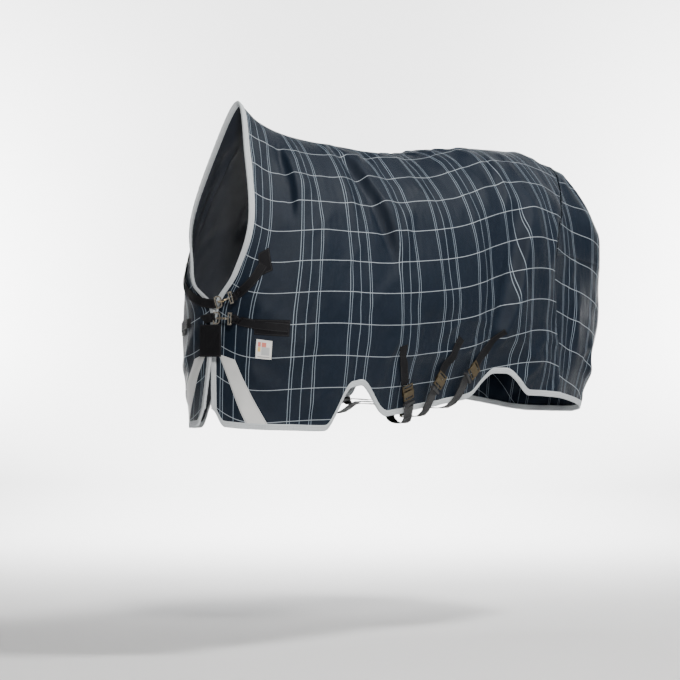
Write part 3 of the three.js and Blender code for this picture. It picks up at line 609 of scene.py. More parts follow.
def plaidMaterial():
    material, tree, shader = newMaterial("plaid_cloth")
    source, u, v = uvPair(tree, "cut")
    _, alongEdge, fromEdge = uvPair(tree, "edge")
    period = plaid["period"]
    places = [-plaid["pair"], plaid["pair"], plaid["single"] * period]
    places += [plaid["second"] * period - plaid["pair"], plaid["second"] * period + plaid["pair"]]
    down = None
    for place in places:
        line = lines(tree, u, period, place, plaid["thin"], plaid["soft"])
        down = line if down is None else calc(tree, "MAXIMUM", down, line)
    level = lines(tree, v, plaid["cross"], 0.0, plaid["wide"], plaid["soft"])
    onObject = objectPlace(tree)
    cloudy = noise(tree, onObject, 3.2, 5.0)
    fine = noise(tree, onObject, 240.0, 2.0)
    ground = blendColour(tree, cloudy, (0.0030, 0.0068, 0.0135, 1), (0.0062, 0.0122, 0.0230, 1))
    ground = blendColour(tree, mapped(tree, fine, 0.35, 0.7, 0.0, 0.30), ground, (0.009, 0.016, 0.029, 1))
    yarn = blendColour(tree, fine, (0.20, 0.25, 0.30, 1), (0.34, 0.40, 0.46, 1))
    thread = blendColour(tree, calc(tree, "MULTIPLY", down, 0.85), ground, yarn)
    bright = blendColour(tree, fine, (0.34, 0.39, 0.44, 1), (0.50, 0.55, 0.59, 1))
    colour = blendColour(tree, calc(tree, "MULTIPLY", level, 0.78), thread, bright)
    sewn = stitches(tree, alongEdge, fromEdge, 0.006)
    sewn = calc(tree, "ADD", sewn, stitches(tree, alongEdge, fromEdge, 0.012))
    colour = blendColour(tree, calc(tree, "MULTIPLY", sewn, 0.9), colour, (0.07, 0.085, 0.105, 1))
    shader.inputs["Specular IOR Level"].default_value = 0.16
    lengthened = {"Vector": source, "Scale": (1.0, 0.35, 1.0)}
    stretched = newNode(tree, "ShaderNodeMapping", lengthened).outputs[0]
    drape = noise(tree, stretched, 9.0, 3.0, 0.5)
    crumple = noise(tree, source, 26.0, 3.0, 0.5)
    normal = bumped(tree, drape, 0.85, 0.018)
    normal = bumped(tree, crumple, 0.45, 0.0030, normal)
    normal = bumped(tree, woven(tree, u, v, 0.0016), 0.35, 0.0003, normal)
    normal = bumped(tree, sewn, 0.8, 0.0008, normal)
    dress(tree, shader, colour, cloudy, (0.46, 0.62), normal)
    return material


def liningMaterial():
    material, tree, shader = newMaterial("lining_cloth")
    source, u, v = uvPair(tree, "cut")
    cloudy = noise(tree, source, 5.0)
    colour = blendColour(tree, cloudy, (0.010, 0.013, 0.020, 1), (0.020, 0.025, 0.036, 1))
    normal = bumped(tree, noise(tree, source, 14.0), 0.4, 0.004)
    normal = bumped(tree, woven(tree, u, v, 0.0012), 0.3, 0.0002, normal)
    dress(tree, shader, colour, cloudy, (0.38, 0.52), normal)
    return material


def tapeMaterial(name, tape):
    material, tree, shader = newMaterial(name)
    dark, light, rough = tape["dark"], tape["light"], tape["rough"]
    source, u, v = uvPair(tree, "cut")
    cloudy = noise(tree, source, 18.0)
    ribbed = woven(tree, u, v, tape["pitch"])
    # Painted shade and highlight: the weave's hollows get the dark colour and its rib tops the light one,
    # from the same height as the bump.
    colour = blendColour(tree, mapped(tree, ribbed, -1.2, 1.2, 0.0, 1.0), dark, light)
    colour = blendColour(tree, calc(tree, "MULTIPLY", cloudy, 0.35), colour, dark)
    first, *others = tape["stitches"]
    sewn = stitches(tree, u, v, first)
    for row in others:
        sewn = calc(tree, "ADD", sewn, stitches(tree, u, v, row))
    colour = blendColour(tree, sewn, colour, tape["thread"])
    normal = bumped(tree, ribbed, 0.5, 0.0004)
    normal = bumped(tree, sewn, 0.9, 0.0009, normal)
    shader.inputs["Sheen Weight"].default_value = tape["sheen"]
    shader.inputs["Specular IOR Level"].default_value = 0.12
    dress(tree, shader, colour, cloudy, (rough - 0.08, rough + 0.08), normal)
    return material


def metalMaterial(name, dark, light, rough):
    material, tree, shader = newMaterial(name)
    place = objectPlace(tree)
    cloudy = noise(tree, place, 60.0)
    shader.inputs["Metallic"].default_value = 1.0
    normal = bumped(tree, noise(tree, place, 420.0), 0.15, 0.0003)
    dress(tree, shader, blendColour(tree, cloudy, dark, light), cloudy, rough, normal)
    return material


def rubberMaterial():
    material, tree, shader = newMaterial("black_rubber")
    place = objectPlace(tree)
    cloudy = noise(tree, place, 90.0)
    colour = blendColour(tree, cloudy, (0.010, 0.010, 0.011, 1), (0.028, 0.028, 0.030, 1))
    normal = bumped(tree, noise(tree, place, 600.0), 0.3, 0.0004)
    dress(tree, shader, colour, cloudy, (0.5, 0.72), normal)
    return material


# Belly webbing has no cut coordinates, so its ribs come from the object's own.
def beltMaterial():
    material, tree, shader = newMaterial("belt_webbing")
    place = objectPlace(tree)
    parts = newNode(tree, "ShaderNodeSeparateXYZ", {0: place})
    ribbed = woven(tree, parts.outputs[0], parts.outputs[1], 0.003)
    cloudy = noise(tree, place, 22.0)
    colour = blendColour(tree, cloudy, (0.004, 0.004, 0.005, 1), (0.013, 0.013, 0.015, 1))
    dress(tree, shader, colour, cloudy, (0.55, 0.75), bumped(tree, ribbed, 0.6, 0.0005))
    return material


def reflectiveMaterial():
    material, tree, shader = newMaterial("reflective_tape")
    source, u, v = uvPair(tree, "cut")
    beads = newNode(tree, "ShaderNodeTexVoronoi", {"Vector": source, "Scale": 900.0})
    grain = beads.outputs["Distance"]
    cloudy = noise(tree, source, 14.0)
    colour = blendColour(tree, cloudy, (0.60, 0.60, 0.59, 1), (0.78, 0.78, 0.76, 1))
    colour = blendColour(tree, mapped(tree, grain, 0.0, 0.6, 0.0, 0.25), colour, (0.42, 0.43, 0.44, 1))
    sewn = calc(tree, "ADD", stitches(tree, u, v, 0.003), stitches(tree, u, v, 0.047))
    colour = blendColour(tree, sewn, colour, (0.30, 0.31, 0.32, 1))
    shader.inputs["Metallic"].default_value = 0.15
    normal = bumped(tree, grain, 0.25, 0.0002)
    normal = bumped(tree, noise(tree, source, 60.0), 0.25, 0.0012, normal)
    normal = bumped(tree, sewn, 0.8, 0.0008, normal)
    dress(tree, shader, colour, cloudy, (0.38, 0.5), normal)
    return material


def labelMaterial():
    material, tree, shader = newMaterial("woven_label")
    source, u, v = uvPair(tree, "cut")
    cloudy = noise(tree, source, 60.0)
    colour = blendColour(tree, cloudy, (0.62, 0.60, 0.57, 1), (0.78, 0.77, 0.74, 1))
    # Coloured blocks: bottom and top, left and right as shares of the label, and the colour.
    for low, high, left, right, tint in (
        (0.62, 0.86, 0.12, 0.30, (0.55, 0.06, 0.03, 1)),
        (0.62, 0.86, 0.36, 0.64, (0.60, 0.08, 0.03, 1)),
        (0.36, 0.60, 0.12, 0.30, (0.70, 0.42, 0.05, 1)),
        (0.20, 0.62, 0.36, 0.86, (0.38, 0.39, 0.40, 1)),
        (0.08, 0.12, 0.12, 0.88, (0.12, 0.12, 0.13, 1)),
    ):
        inside = 0.85
        for coordinate, start, end in ((v, low, high), (u, left, right)):
            entered = mapped(tree, coordinate, start - 0.01, start + 0.01, 0.0, 1.0)
            notLeft = mapped(tree, coordinate, end - 0.01, end + 0.01, 1.0, 0.0)
            inside = calc(tree, "MULTIPLY", calc(tree, "MULTIPLY", entered, notLeft), inside)
        colour = blendColour(tree, inside, colour, tint)
    normal = bumped(tree, woven(tree, u, v, 0.02), 0.3, 0.0003)
    dress(tree, shader, colour, cloudy, (0.55, 0.7), normal)
    return material


# In each tape, dark is painted into the weave's hollows as shade and is also the random mottle's colour;
# light is painted on the rib tops as highlight.
black = {"dark": (0.004, 0.004, 0.005, 1), "thread": (0.030, 0.030, 0.033, 1), "sheen": 0.0}
webbing = {**black, "light": (0.012, 0.012, 0.014, 1), "pitch": 0.0028, "rough": 0.66}
patchCloth = {**black, "light": (0.011, 0.011, 0.013, 1), "pitch": 0.0020, "rough": 0.72}
bindingTape = {
    "dark": (0.42, 0.45, 0.47, 1),
    "light": (0.68, 0.71, 0.73, 1),
    "thread": (0.66, 0.70, 0.73, 1),
    "pitch": 0.0022,
    "rough": 0.68,
    "sheen": 0.05,
    "stitches": [0.0035, 0.010, 0.0165],
}
nickel = {"dark": (0.40, 0.35, 0.27, 1), "light": (0.66, 0.60, 0.50, 1), "rough": (0.18, 0.34)}
brass = {"dark": (0.050, 0.040, 0.026, 1), "light": (0.150, 0.118, 0.070, 1), "rough": (0.28, 0.46)}
finishes = {
    "plaid": plaidMaterial(),
    "lining": liningMaterial(),
    "binding": tapeMaterial("binding_tape", bindingTape),
    "webbing": tapeMaterial("black_webbing", {**webbing, "stitches": [0.003, 0.027]}),
    "belt": tapeMaterial("side_webbing", {**webbing, "stitches": [0.003, 0.035]}),
    "patch": tapeMaterial("black_patch", {**patchCloth, "stitches": [0.0035]}),
    "nickel": metalMaterial("nickel_plate", **nickel),
    "brass": metalMaterial("aged_brass", **brass),
    "rubber": rubberMaterial(),
    "loose": beltMaterial(),
    "reflective": reflectiveMaterial(),
    "label": labelMaterial(),
}
print("materials made")


def finish(piece, material, body="rug", replaced=()):
    piece.data.materials.clear()
    piece.data.materials.append(finishes[material])
    if body:
        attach(piece, body)
    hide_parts(*replaced)
    return piece


# Plaid coordinate along the rug at each rib, in periods: the ribs where a pair of lines falls.
pairRibs = np.array([-1.4, 0.30, 1.95, 3.18, 4.15, 4.82, 5.52, 6.29, 7.08, 7.9, 8.8, 9.8, 11.0])
pairTurns = np.arange(len(pairRibs)) - 1.0


def depthDown(u, v):
    rows = np.linspace(0, 1, 40)
    samples = formPoints(u[..., None] * np.ones(40), v[..., None] * rows)
    return np.linalg.norm(np.diff(samples, axis=-2), axis=-1).sum(-1)


def plaidPlace(u, v, shiftU=0.0, shiftV=0.0):
    alongRug = np.interp(u, pairRibs, pairTurns) * plaid["period"] + shiftU
    rear = smooth(u, 5.2, 6.6) * (0.045 - 0.006 * v)
    return np.stack([alongRug, depthDown(u, v) - 0.012 + rear + shiftV], -1)


panel = {"columns": 330, "rows": 190, "lift": 0.003, "roll": 0.004, "rim": 0.002, "hidden": 0.0035}
lining = {"columns": 150, "rows": 90, "lift": -0.0018}


# Ribs and rows of a side panel's grid. The hem's row hangs on the rib and the back edge's rib
# on the row, so the two are found in turn.
def panelGrid(columns, rows, inset):
    b, a = shareGrids(rows, columns)
    u = a * backRib(lastRow)
    for _ in range(4):
        v = b * (hemRow(u) - inset / rowDepth(u))
        u = a * backRib(v)
    return np.maximum(u, inset / ribLength(np.zeros_like(v), v)), v


def sidePanel(name, side):
    u, v = panelGrid(panel["columns"], panel["rows"], panel["rim"])
    points, normal = clothPoints(side, u, v, panel["lift"])
    fromBack = np.linalg.norm(points - points[:, -1:], axis=-1)
    # The free edge is turned under: the last columns fall by a quarter circle's curve.
    fall = np.clip(1 - fromBack / panel["roll"], 0, 1)
    points = points - normal * (panel["lift"] * (1 - np.sqrt(1 - fall**2)))[..., None]
    under = points[:, -1:] - normal[:, -1:] * panel["hidden"]
    points = np.concatenate([points, under], axis=1)
    cut = plaidPlace(u, v)
    cut = np.concatenate([cut, cut[:, -1:]], axis=1)
    edge = np.stack([lengthAlong(points[:, -2])[:, None] * np.ones_like(fromBack), fromBack], -1)
    edge = np.concatenate([edge, edge[:, -1:]], axis=1)
    piece = gridPiece(f"cloth_{name}", points, cut, turned=side < 0, edges=edge)
    return finish(piece, "plaid", replaced=[f"shell_{name}"])


def sideLining(name, side):
    u, v = panelGrid(lining["columns"], lining["rows"], panel["rim"])
    points, _ = clothPoints(side, u, v, lining["lift"])
    piece = gridPiece(f"inner_{name}", points, plaidPlace(u, v), turned=side > 0)
    return finish(piece, "lining", replaced=[f"lining_{name}"])


# The tape's outline round the edge: (distance in from the edge, height above the form) in mm.
tapeOutline = np.array(
    [
        (20.0, 2.6), (20.2, 4.0), (19.2, 4.7), (16.5, 4.9), (13.0, 4.6), (10.0, 4.7), (6.5, 4.6),
        (3.5, 5.0), (1.4, 4.8), (0.3, 3.8), (-0.3, 2.0), (-0.3, 0.0), (0.2, -2.2), (1.4, -3.4),
        (4.0, -3.8), (10.0, -3.6), (16.5, -3.8), (19.4, -3.5), (20.2, -2.6), (20.0, -1.6),
    ]
) * mm
tapeEdge = 8  # the outline's point at the tape's outer edge, along which its length is walked


def tapeCut(points):
    along, inwards = np.broadcast_arrays(lengthAlong(points[:, tapeEdge])[:, None], tapeOutline[:, 0])
    return np.stack([along, inwards], -1)


def tapeBand(name, side, place, count):
    t = np.linspace(0, 1, count)[:, None] * np.ones(len(tapeOutline))
    u, v = place(t, tapeOutline[:, 0])
    pucker = 0.0003 * np.sin(2 * np.pi * t * count / 7)
    points, _ = clothPoints(side, u, v, tapeOutline[:, 1] + pucker)
    return bandPiece(name, points, tapeCut(points))


def frontPlace(t, inwards):
    v = t * hemRow(np.zeros_like(t))
    return inwards / ribLength(np.zeros_like(v), v), v


hemStart = 0.004  # rib at which the hem tape starts, just inside the front tape


def hemPlace(t, inwards):
    u = hemStart + t * (backRib(lastRow) - hemStart)
    return u, hemRow(u) - inwards / rowDepth(u)


rump = {"columns": 150, "rows": 110, "gap": 0.0004, "lift": 0.003, "ridge": 0.0016, "fade": 0.45}
flap = {"columns": 190, "rows": 170, "tuck": 0.024, "inset": 0.014, "rise": 1.2, "top": 2.42}
plaidShift = {"shiftU": 0.030, "shiftV": -0.022}  # the rump's and flap's plaid against the side's


def roundTail(start, t):
    half = 2 * np.abs(t - 0.5)
    return lastRib + (start - lastRib) * half


def bothSides(u, v, t, lift, group):
    left, leftOut = clothPoints(-1, u, v, lift, group)
    right = left * mirror
    rightOut = leftOut * mirror
    isLeft = (t < 0.5)[..., None]
    return np.where(isLeft, left, right), np.where(isLeft, leftOut, rightOut)


# What brings the rump's height level with the side panel beside it, fading out from the seam.
def seamRise(u, v, t):
    seamRib = backRib(v)
    left = clothHeight(-1, seamRib, v)
    right = clothHeight(1, seamRib, v)
    own = clothHeight(-1, seamRib, v, rumpFolds)
    return (np.where(t < 0.5, left, right) - own) * bell((u - seamRib) / rump["fade"])


def rumpPanel():
    b, t = shareGrids(rump["rows"], 2 * rump["columns"] + 1)
    v = b * (ventRow + 0.02)
    start = backRib(v) + rump["gap"] / ribLength(backRib(v), v)
    u = roundTail(start, t)
    fromSeam = (u - start) * ribLength(backRib(v), v)
    ridge = rump["ridge"] * bell((fromSeam / 0.010) ** 2)
    points, normal = bothSides(u, v, t, rump["lift"] + ridge + seamRise(u, v, t), rumpFolds)
    lower = points[-1:] - normal[-1:] * 0.0012
    points = np.concatenate([points, lower])
    cut = plaidPlace(u, v, **plaidShift)
    cut = np.concatenate([cut, cut[-1:]])
    fromHem = np.linalg.norm(points[:-1] - points[-2:-1], axis=-1)
    edge = np.stack([v * rowHeight, np.minimum(fromSeam, fromHem + 0.001)], -1)
    edge = np.concatenate([edge, edge[-1:]])
    piece = gridPiece("cloth_rump", points, cut, turned=True, edges=edge)
    return finish(piece, "plaid", replaced=["rump_panel"])


def flapSink(u, v):
    level = flap["inset"] * (1 - smooth(u, backRib(v), backRib(v) + flap["rise"]))
    return level * smooth(v, ventRow, ventRow + 0.5) + 0.0009


def flapStart(v):
    tuck = flap["tuck"] * smooth(v, ventRow, ventRow + 1)
    return backRib(v) - tuck / ribLength(backRib(v), v) + 0.02 * (1 - smooth(v, ventRow, ventRow + 0.3))


# What keeps the flap's top level with the rump panel over it.
def flapRise(u, v, t):
    over = clothHeight(-1, u, v, rumpFolds) - clothHeight(-1, u, v, flapFolds)
    return (over + seamRise(u, v, t)) * (1 - smooth(v, ventRow + 0.1, ventRow + 0.9))


def tailFlap():
    b, t = shareGrids(flap["rows"], 2 * flap["columns"] + 1)
    low = lastRow - panel["rim"] / rowDepth(9.0)
    v = flap["top"] + b * (low - flap["top"])
    u = roundTail(flapStart(v), t)
    points, _ = bothSides(u, v, t, rump["lift"] - flapSink(u, v) + flapRise(u, v, t), flapFolds)
    cut = plaidPlace(u, v, **plaidShift)
    edge = np.stack([v * rowHeight, 0.3 * np.ones_like(v)], -1)
    piece = gridPiece("cloth_flap", points, cut, turned=True, edges=edge)
    return finish(piece, "plaid", body=None, replaced=["tail_flap"])


def flapTape():
    count = 2 * flap["columns"] + 1
    t = np.linspace(0, 1, count)[:, None] * np.ones(len(tapeOutline))
    depth = np.linalg.norm(formPoints(10.0, lastRow) - formPoints(10.0, lastRow - 1))
    v = lastRow - tapeOutline[:, 0] * np.ones_like(t) / depth
    u = roundTail(flapStart(v), t)
    lift = 0.8 * tapeOutline[:, 1] + 0.0006 - flapSink(u, v)
    points, _ = bothSides(u, v, t, lift, flapFolds)
    piece = bandPiece("tape_flap", points, tapeCut(points))
    return finish(piece, "binding", body=None, replaced=["tail_flap_binding"])


pieces = {}
for name, side in sides.items():
    pieces[f"cloth_{name}"] = sidePanel(name, side)
    pieces[f"inner_{name}"] = sideLining(name, side)
    front = tapeBand(f"tape_front_{name}", side, frontPlace, 420)
    pieces[f"front_{name}"] = finish(front, "binding", replaced=[f"front_binding_{name}"])
    hem = tapeBand(f"tape_hem_{name}", side, hemPlace, 760)
    pieces[f"hem_{name}"] = finish(hem, "binding", replaced=[f"hem_binding_{name}"])
print("side panels made")
pieces["rump"] = rumpPanel()
pieces["flap"] = tailFlap()
pieces["flapTape"] = flapTape()
print("rump and flap made")


# A thin pad between four (rib, row) corners, rounded at its rim. Its cut coordinates run in
# metres along it and in from the rim, or are its own shares.
def padPiece(name, side, corners, thickness, byShare=False):
    t, s = shareGrids(28, 36)
    a, b, c, d = (np.array(corner, float) for corner in corners)
    top = a + s[..., None] * (b - a)
    low = d + s[..., None] * (c - d)
    place = top + t[..., None] * (low - top)
    u, v = place[..., 0], place[..., 1]
    lift = 0.0035
    base, _ = clothPoints(side, u, v, lift)
    width = np.linalg.norm(base[0, -1] - base[0, 0])
    height = np.linalg.norm(base[-1, 0] - base[0, 0])
    rim = np.minimum(np.minimum(s, 1 - s) * width, np.minimum(t, 1 - t) * height)
    top, _ = clothPoints(side, u, v, lift + thickness * rounded(rim, 0.0015))
    low, _ = clothPoints(side, u, v, lift - 0.0003)
    rows, columns = s.shape
    outer = gridQuads(rows, columns, turned=side < 0)
    inner = gridQuads(rows, columns, turned=side > 0) + rows * columns
    index = np.arange(rows * columns).reshape(rows, columns)
    rimLoop = np.concatenate([index[0, :-1], index[:-1, -1], index[-1, :0:-1], index[:0:-1, 0]])
    after = np.roll(rimLoop, -1)
    wall = np.stack([rimLoop, after, after + rows * columns, rimLoop + rows * columns], -1)
    wall = wall[:, ::-1] if side > 0 else wall
    cut = np.stack([s, 1 - t] if byShare else [s * width + t * height, rim], -1)
    points = np.concatenate([top.reshape(-1, 3), low.reshape(-1, 3)])
    cuts = np.concatenate([cut.reshape(-1, 2)] * 2)
    return meshFrom(name, points, np.concatenate([outer, inner, wall]), cuts)


shoulderCorners = [(0.72, 2.62), (1.05, 2.5), (1.28, 2.98), (0.95, 3.1)]
sideCorners = [(1.05, 4.1), (1.85, 4.02), (1.85, 4.32), (1.08, 4.4)]
labelCorners = [(1.15, 4.47), (1.5, 4.45), (1.5, 4.78), (1.15, 4.82)]
for name, side in sides.items():
    shoulder = padPiece(f"patch_shoulder_{name}", side, shoulderCorners, 0.0016)
    pieces[f"shoulder_{name}"] = finish(shoulder, "patch", replaced=[f"shoulder_patch_{name}"])
    patch = padPiece(f"patch_side_{name}", side, sideCorners, 0.0016)
    pieces[f"side_{name}"] = finish(patch, "patch", replaced=[f"side_patch_{name}"])
label = padPiece("label", -1, labelCorners, 0.0008, byShare=True)
pieces["label"] = finish(label, "label", replaced=["care_label"])

strip = {
    "width": 0.05,
    "topRib": 0.42,
    "lowRib": 1.22,
    "topRow": 4.95,
    "slant": 1.25,
    "lift": 0.0031,
    "thickness": 0.0011,
}


def reflectiveStrip(name, side):
    b, a = shareGrids(90, 24)
    low = hemRow(1.25) - 0.019 / rowDepth(1.25)
    v = strip["topRow"] + b * (low - strip["topRow"])
    middle = strip["topRib"] + b * (strip["lowRib"] - strip["topRib"])
    u = middle + (a - 0.5) * strip["width"] * strip["slant"] / ribLength(np.zeros_like(v), v)
    rim = np.minimum(a, 1 - a) * strip["width"]
    points, _ = clothPoints(side, u, v, strip["lift"] + strip["thickness"] * rounded(rim, 0.001))
    cut = np.stack([lengthAlong(points[:, 12])[:, None] * np.ones_like(a), a * strip["width"]], -1)
    piece = gridPiece(f"strip_{name}", points, cut, turned=side < 0)
    return finish(piece, "reflective", replaced=[f"reflective_strip_{name}"])


for name, side in sides.items():
    pieces[f"strip_{name}"] = reflectiveStrip(name, side)
print("patches and strips made")


# Catmull-Rom through the points, at count places.
def through(points, count):
    points = np.asarray(points, float)
    ends = np.concatenate([2 * points[:1] - points[1:2], points, 2 * points[-1:] - points[-2:-1]])
    t = np.linspace(0, len(points) - 1 - 1e-9, count)
    leg = t.astype(int)
    weights = splineWeights(t - leg)
    return sum(weights[:, i : i + 1] * ends[leg + i] for i in range(4))


# A flat strap along points with outward normals, its edges rounded.
def strapPiece(name, points, normals, width, thickness):
    tangent = unit(np.gradient(points, axis=0))
    over = unit(np.cross(tangent, normals))
    normals = unit(np.cross(over, tangent))
    angle = np.linspace(0, 2 * np.pi, 28, endpoint=False)
    flatX = np.sign(np.cos(angle)) * np.abs(np.cos(angle)) ** 0.12
    flatY = np.sign(np.sin(angle)) * np.abs(np.sin(angle)) ** 0.6
    rings = (
        points[:, None]
        + over[:, None] * (flatX * width / 2)[None, :, None]
        + normals[:, None] * ((flatY + 1) * thickness / 2)[None, :, None]
    )
    cut = np.stack(np.broadcast_arrays(lengthAlong(points)[:, None], (flatX + 1) * width / 2), -1)
    return bandPiece(name, rings, cut)


def onCloth(side, path, count, lift):
    place = through(path, count)
    return clothPoints(side, place[:, 0], place[:, 1], lift)


strap = {"chest": 0.030, "belly": 0.038, "thickness": 0.002, "onCloth": 0.0035, "overPatch": 0.0052}
chestOut = unit(np.array((-1, -0.19, 0.0)))
snap = {"length": 0.054, "loop": 0.012, "wire": 0.004, "ring": 0.026, "standOff": 0.028}
chestSets = {
    "upper": {
        "left": [(0.98, 2.85), (0.75, 3.25), (0.52, 3.6)],
        "right": [(0.98, 2.85), (0.75, 3.25), (0.5, 3.6), (0.25, 3.85)],
        "start": (-0.604, -0.096, -0.517),
        "along": (-0.19, 1, -0.3),
    },
    "lower": {
        "left": [(1.82, 4.17), (1.2, 4.2), (0.72, 4.2)],
        "right": [(1.82, 4.17), (1.3, 4.2), (0.95, 4.2)],
        "start": (-0.607, -0.094, -0.586),
        "along": (-0.19, 1, 0.05),
    },
}


def chestStrap(level, name, side):
    data = chestSets[level]
    start = np.array(data["start"]) + chestOut * snap["standOff"]
    along = np.array(data["along"])
    along = unit(along - chestOut * along.dot(chestOut))
    reach = snap["length"] - snap["loop"] - snap["wire"] / 2 + snap["ring"] + 0.0003
    goal = start - along * 2 * snap["wire"] if side < 0 else start + along * (reach + 0.001)
    away = -1 if side < 0 else 1
    laid, normals = onCloth(side, data[name], 60, strap["overPatch"])
    lead = goal + along * 0.008 * away
    middle = (laid[-1] + lead) / 2 + chestOut * 0.002
    points = np.concatenate([laid, through([laid[-1], middle, lead, goal], 26)[1:]])
    share = np.linspace(0, 1, 25)[:, None]
    normals = np.concatenate([normals, unit(normals[-1] * (1 - share) + chestOut * share)])
    piece = strapPiece(f"strap_{level}_{name}", points, normals, strap["chest"], strap["thickness"])
    return finish(piece, "webbing", replaced=[f"{level}_strap_{name}"])


for level in chestSets:
    for name, side in sides.items():
        pieces[f"{level}_{name}"] = chestStrap(level, name, side)

# Each belly strap's path down the left side to its slot plate, and its anchor's rib on the right.
bellyStraps = [
    {"path": [(4.2, 4.4), (4.28, 4.85), (4.35, 5.3)], "rightRib": 5.65},
    {"path": [(5.2, 4.2), (5.06, 4.65), (4.94, 5.08)], "rightRib": 5.0},
    {"path": [(6.05, 4.1), (5.83, 4.55), (5.6, 4.97)], "rightRib": 4.35},
]
plateHeight = 0.0085  # of the strap's end over the form, where it meets the plate


def bellyWebbing(name, points, normals, replaced):
    piece = strapPiece(name, points, normals, strap["belly"], strap["thickness"])
    return finish(piece, "belt", replaced=[replaced])


def sideStrap(number, path):
    points, normals = onCloth(-1, path, 60, strap["onCloth"])
    place, out = clothFrames(-1, *path[-1])
    away = smooth(np.linspace(0, 1, 60), 0.72, 1.0)[:, None]
    points = points + away * (place + out * plateHeight - points[-1])
    return bellyWebbing(f"strap_side_{number}", points, normals, f"side_strap_{number}")


def anchorStrap(number, rib):
    points, normals = onCloth(1, [(rib, 4.35), (rib, 4.7), (rib, 5.0)], 60, strap["onCloth"])
    return bellyWebbing(f"strap_anchor_{number}", points, normals, f"anchor_strap_{number}")


for number, belly in enumerate(bellyStraps, start=1):
    pieces[f"strapSide{number}"] = sideStrap(number, belly["path"])
    pieces[f"anchor{number}"] = anchorStrap(number, belly["rightRib"])
print("straps made")

# Chest tab: a flat stitched pad, thicker along its folded top.
tab = {"width": 0.096, "height": 0.104, "thickness": 0.004}


def chestTab():
    low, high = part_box("chest_tab")
    middle = (np.array(low) + np.array(high)) / 2
    count = 60
    b, a = shareGrids(count, count)
    y, z = 2 * a - 1, 1 - 2 * b
    rim = np.minimum((1 - np.abs(y)) * tab["width"] / 2, (1 - np.abs(z)) * tab["height"] / 2)
    full = tab["thickness"] / 2 * rounded(rim, 0.002)
    seams = 0.0007 * bell((np.abs(y) - 0.34) / 0.02) + 0.0006 * bell((z - 0.72) / 0.02)
    points = []
    for x in (seams - full, full):
        offset = np.stack([x, y * tab["width"] / 2, z * tab["height"] / 2], -1)
        points.append(middle + offset)
    quads = gridQuads(count, count)
    quads = np.concatenate([quads[:, ::-1], quads + count * count])
    cut = np.stack([y * tab["width"] / 2 + z * tab["height"] / 2, rim], -1).reshape(-1, 2)
    vertices = np.concatenate([p.reshape(-1, 3) for p in points])
    piece = meshFrom("tab_chest", vertices, quads, np.concatenate([cut, cut]))
    return finish(piece, "patch", replaced=["chest_tab"])


pieces["tab"] = chestTab()

# Hardware and belly straps are the CAD pieces, softened and refinished. Each finish is listed with
# the words in the names of its nodes.
hardware = {
    "nickel": ["snap_hook", "snap_gate", "upper_ring", "lower_ring"],
    "brass": ["slot_plate", "t_hook", "strap_slider"],
    "rubber": ["stop_ring"],
    "loose": ["belly_strap"],
}
rimWidth = 0.0009


def soften(node, width):
    bevel = node.modifiers.new("rim", "BEVEL")
    bevel.width = width
    bevel.segments = 2
    bevel.limit_method = "ANGLE"
    bevel.angle_limit = math.radians(35)
    bevel.harden_normals = False


def refinish(node, material, width):
    node.data.materials.clear()
    node.data.materials.append(finishes[material])
    soften(node, width)


for material, parts in hardware.items():
    width = 0.0007 if material == "loose" else rimWidth
    for name in nodes:
        if any(part in name for part in parts):
            refinish(nodes[name], material, width)
print("hardware finished")


for name in ("flap", "flapTape"):
    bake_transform(pieces[name])


room = {"floor": -1.67, "start": 5.0, "bend": 7.4, "height": 8.5, "half": 15.0}


# A pale floor that curves up into a wall behind.
def backdrop():
    turn = math.radians(view["azimuth"])
    back = np.array((-math.sin(turn), math.cos(turn), 0))
    right = np.array((math.cos(turn), math.sin(turn), 0))
    angle = np.linspace(0, np.pi / 2, 24)
    bendX = room["start"] + room["bend"] * np.sin(angle)
    bendZ = room["bend"] * (1 - np.cos(angle))
    bend = np.stack([bendX, bendZ], -1)
    profile = np.concatenate([[(-room["half"], 0.0)], bend, [(bendX[-1], room["height"])]])
    side = np.linspace(-room["half"], room["half"], 12)
    points = (
        profile[:, None, :1] * back
        + side[None, :, None] * right
        + (room["floor"] + profile[:, None, 1:]) * np.array((0, 0, 1))
    )
    uvs = np.stack(np.broadcast_arrays(profile[:, None, 0], side[None, :]), -1)
    floor = gridPiece("floor", points, uvs)
    material, tree, shader = newMaterial("pale_floor")
    mottle = noise(tree, objectPlace(tree), 1.2)
    tone = blendColour(tree, mottle, (0.84, 0.84, 0.84, 1), (0.88, 0.88, 0.88, 1))
    tree.links.new(tone, shader.inputs["Base Color"])
    shader.inputs["Roughness"].default_value = 0.9
    floor.data.materials.append(material)


backdrop()

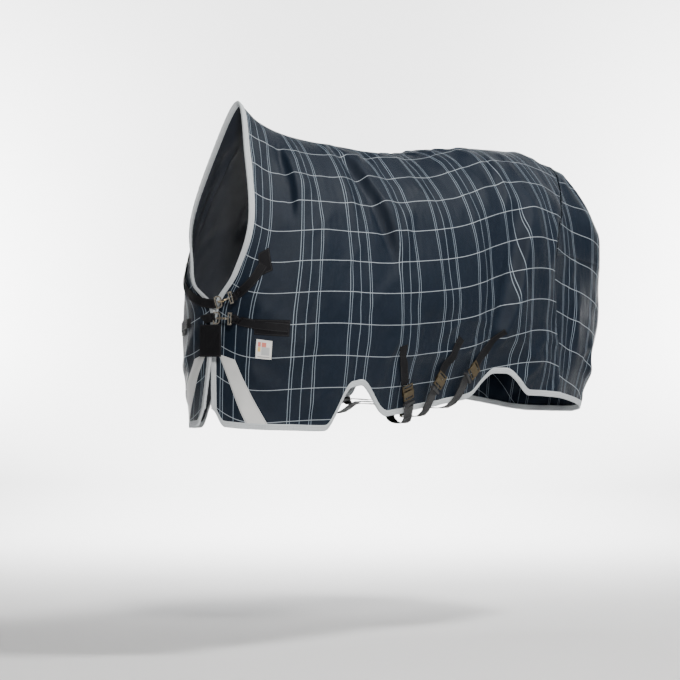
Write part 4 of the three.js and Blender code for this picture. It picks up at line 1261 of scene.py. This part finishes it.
# Places, aims and sizes in metres, power in watts, spread in degrees. The lamp over the ground
# and the two at the wall shine away from the rug.
lamps = [
    {
        "name": "top", "at": (1.1, -2.3, 3.2), "to": (0.2, -0.1, -0.2),
        "size": 1.0, "power": 230, "tint": (1, 0.99, 0.97),
    },
    {
        "name": "key", "at": (-4.0, -4.6, 2.3), "to": (0.1, 0, -0.2),
        "size": 1.0, "power": 380, "tint": (1, 0.98, 0.95),
    },
    {
        "name": "fill", "at": (-6.0, 1.5, 0.8), "to": (0.2, 0, -0.5),
        "size": 3.5, "power": 12, "tint": (0.95, 0.97, 1),
    },
    {
        "name": "rear", "at": (4.5, -3.2, 2.0), "to": (0.8, 0, -0.4),
        "size": 1.6, "power": 26, "tint": (0.96, 0.98, 1),
    },
    {
        "name": "ground", "at": (4.1, 3.7, 2.1), "to": (4.1, 3.7, -1.6),
        "size": 5.0, "power": 520, "tint": (1, 1, 1), "spread": 100,
    },
    {
        "name": "wall_left", "at": (2.7, 7.8, 1.4), "to": (6.6, 11.0, 0.6),
        "size": 2.6, "power": 1300, "tint": (1, 1, 1),
    },
    {
        "name": "wall_right", "at": (8.0, 1.8, 1.4), "to": (11.6, 5.4, 0.6),
        "size": 2.6, "power": 1300, "tint": (1, 1, 1),
    },
]


def lightRoom():
    for lamp in lamps:
        data = bpy.data.lights.new(lamp["name"], "AREA")
        data.shape = "DISK"
        data.size = lamp["size"]
        data.energy = lamp["power"]
        data.color = lamp["tint"]
        data.spread = math.radians(lamp.get("spread", 180))
        light = bpy.data.objects.new(lamp["name"], data)
        light.location = lamp["at"]
        aim = np.array(lamp["to"]) - np.array(lamp["at"])
        light.rotation_euler = (
            math.atan2(math.hypot(aim[0], aim[1]), -aim[2]),
            0,
            math.atan2(aim[1], aim[0]) - math.pi / 2,
        )
        bpy.context.scene.collection.objects.link(light)
    world = bpy.data.worlds.new("room")
    world.use_nodes = True
    world.node_tree.nodes["Background"].inputs[0].default_value = (0.93, 0.95, 1.0, 1)
    world.node_tree.nodes["Background"].inputs[1].default_value = 0.09
    bpy.context.scene.world = world


lightRoom()
print("room lit")
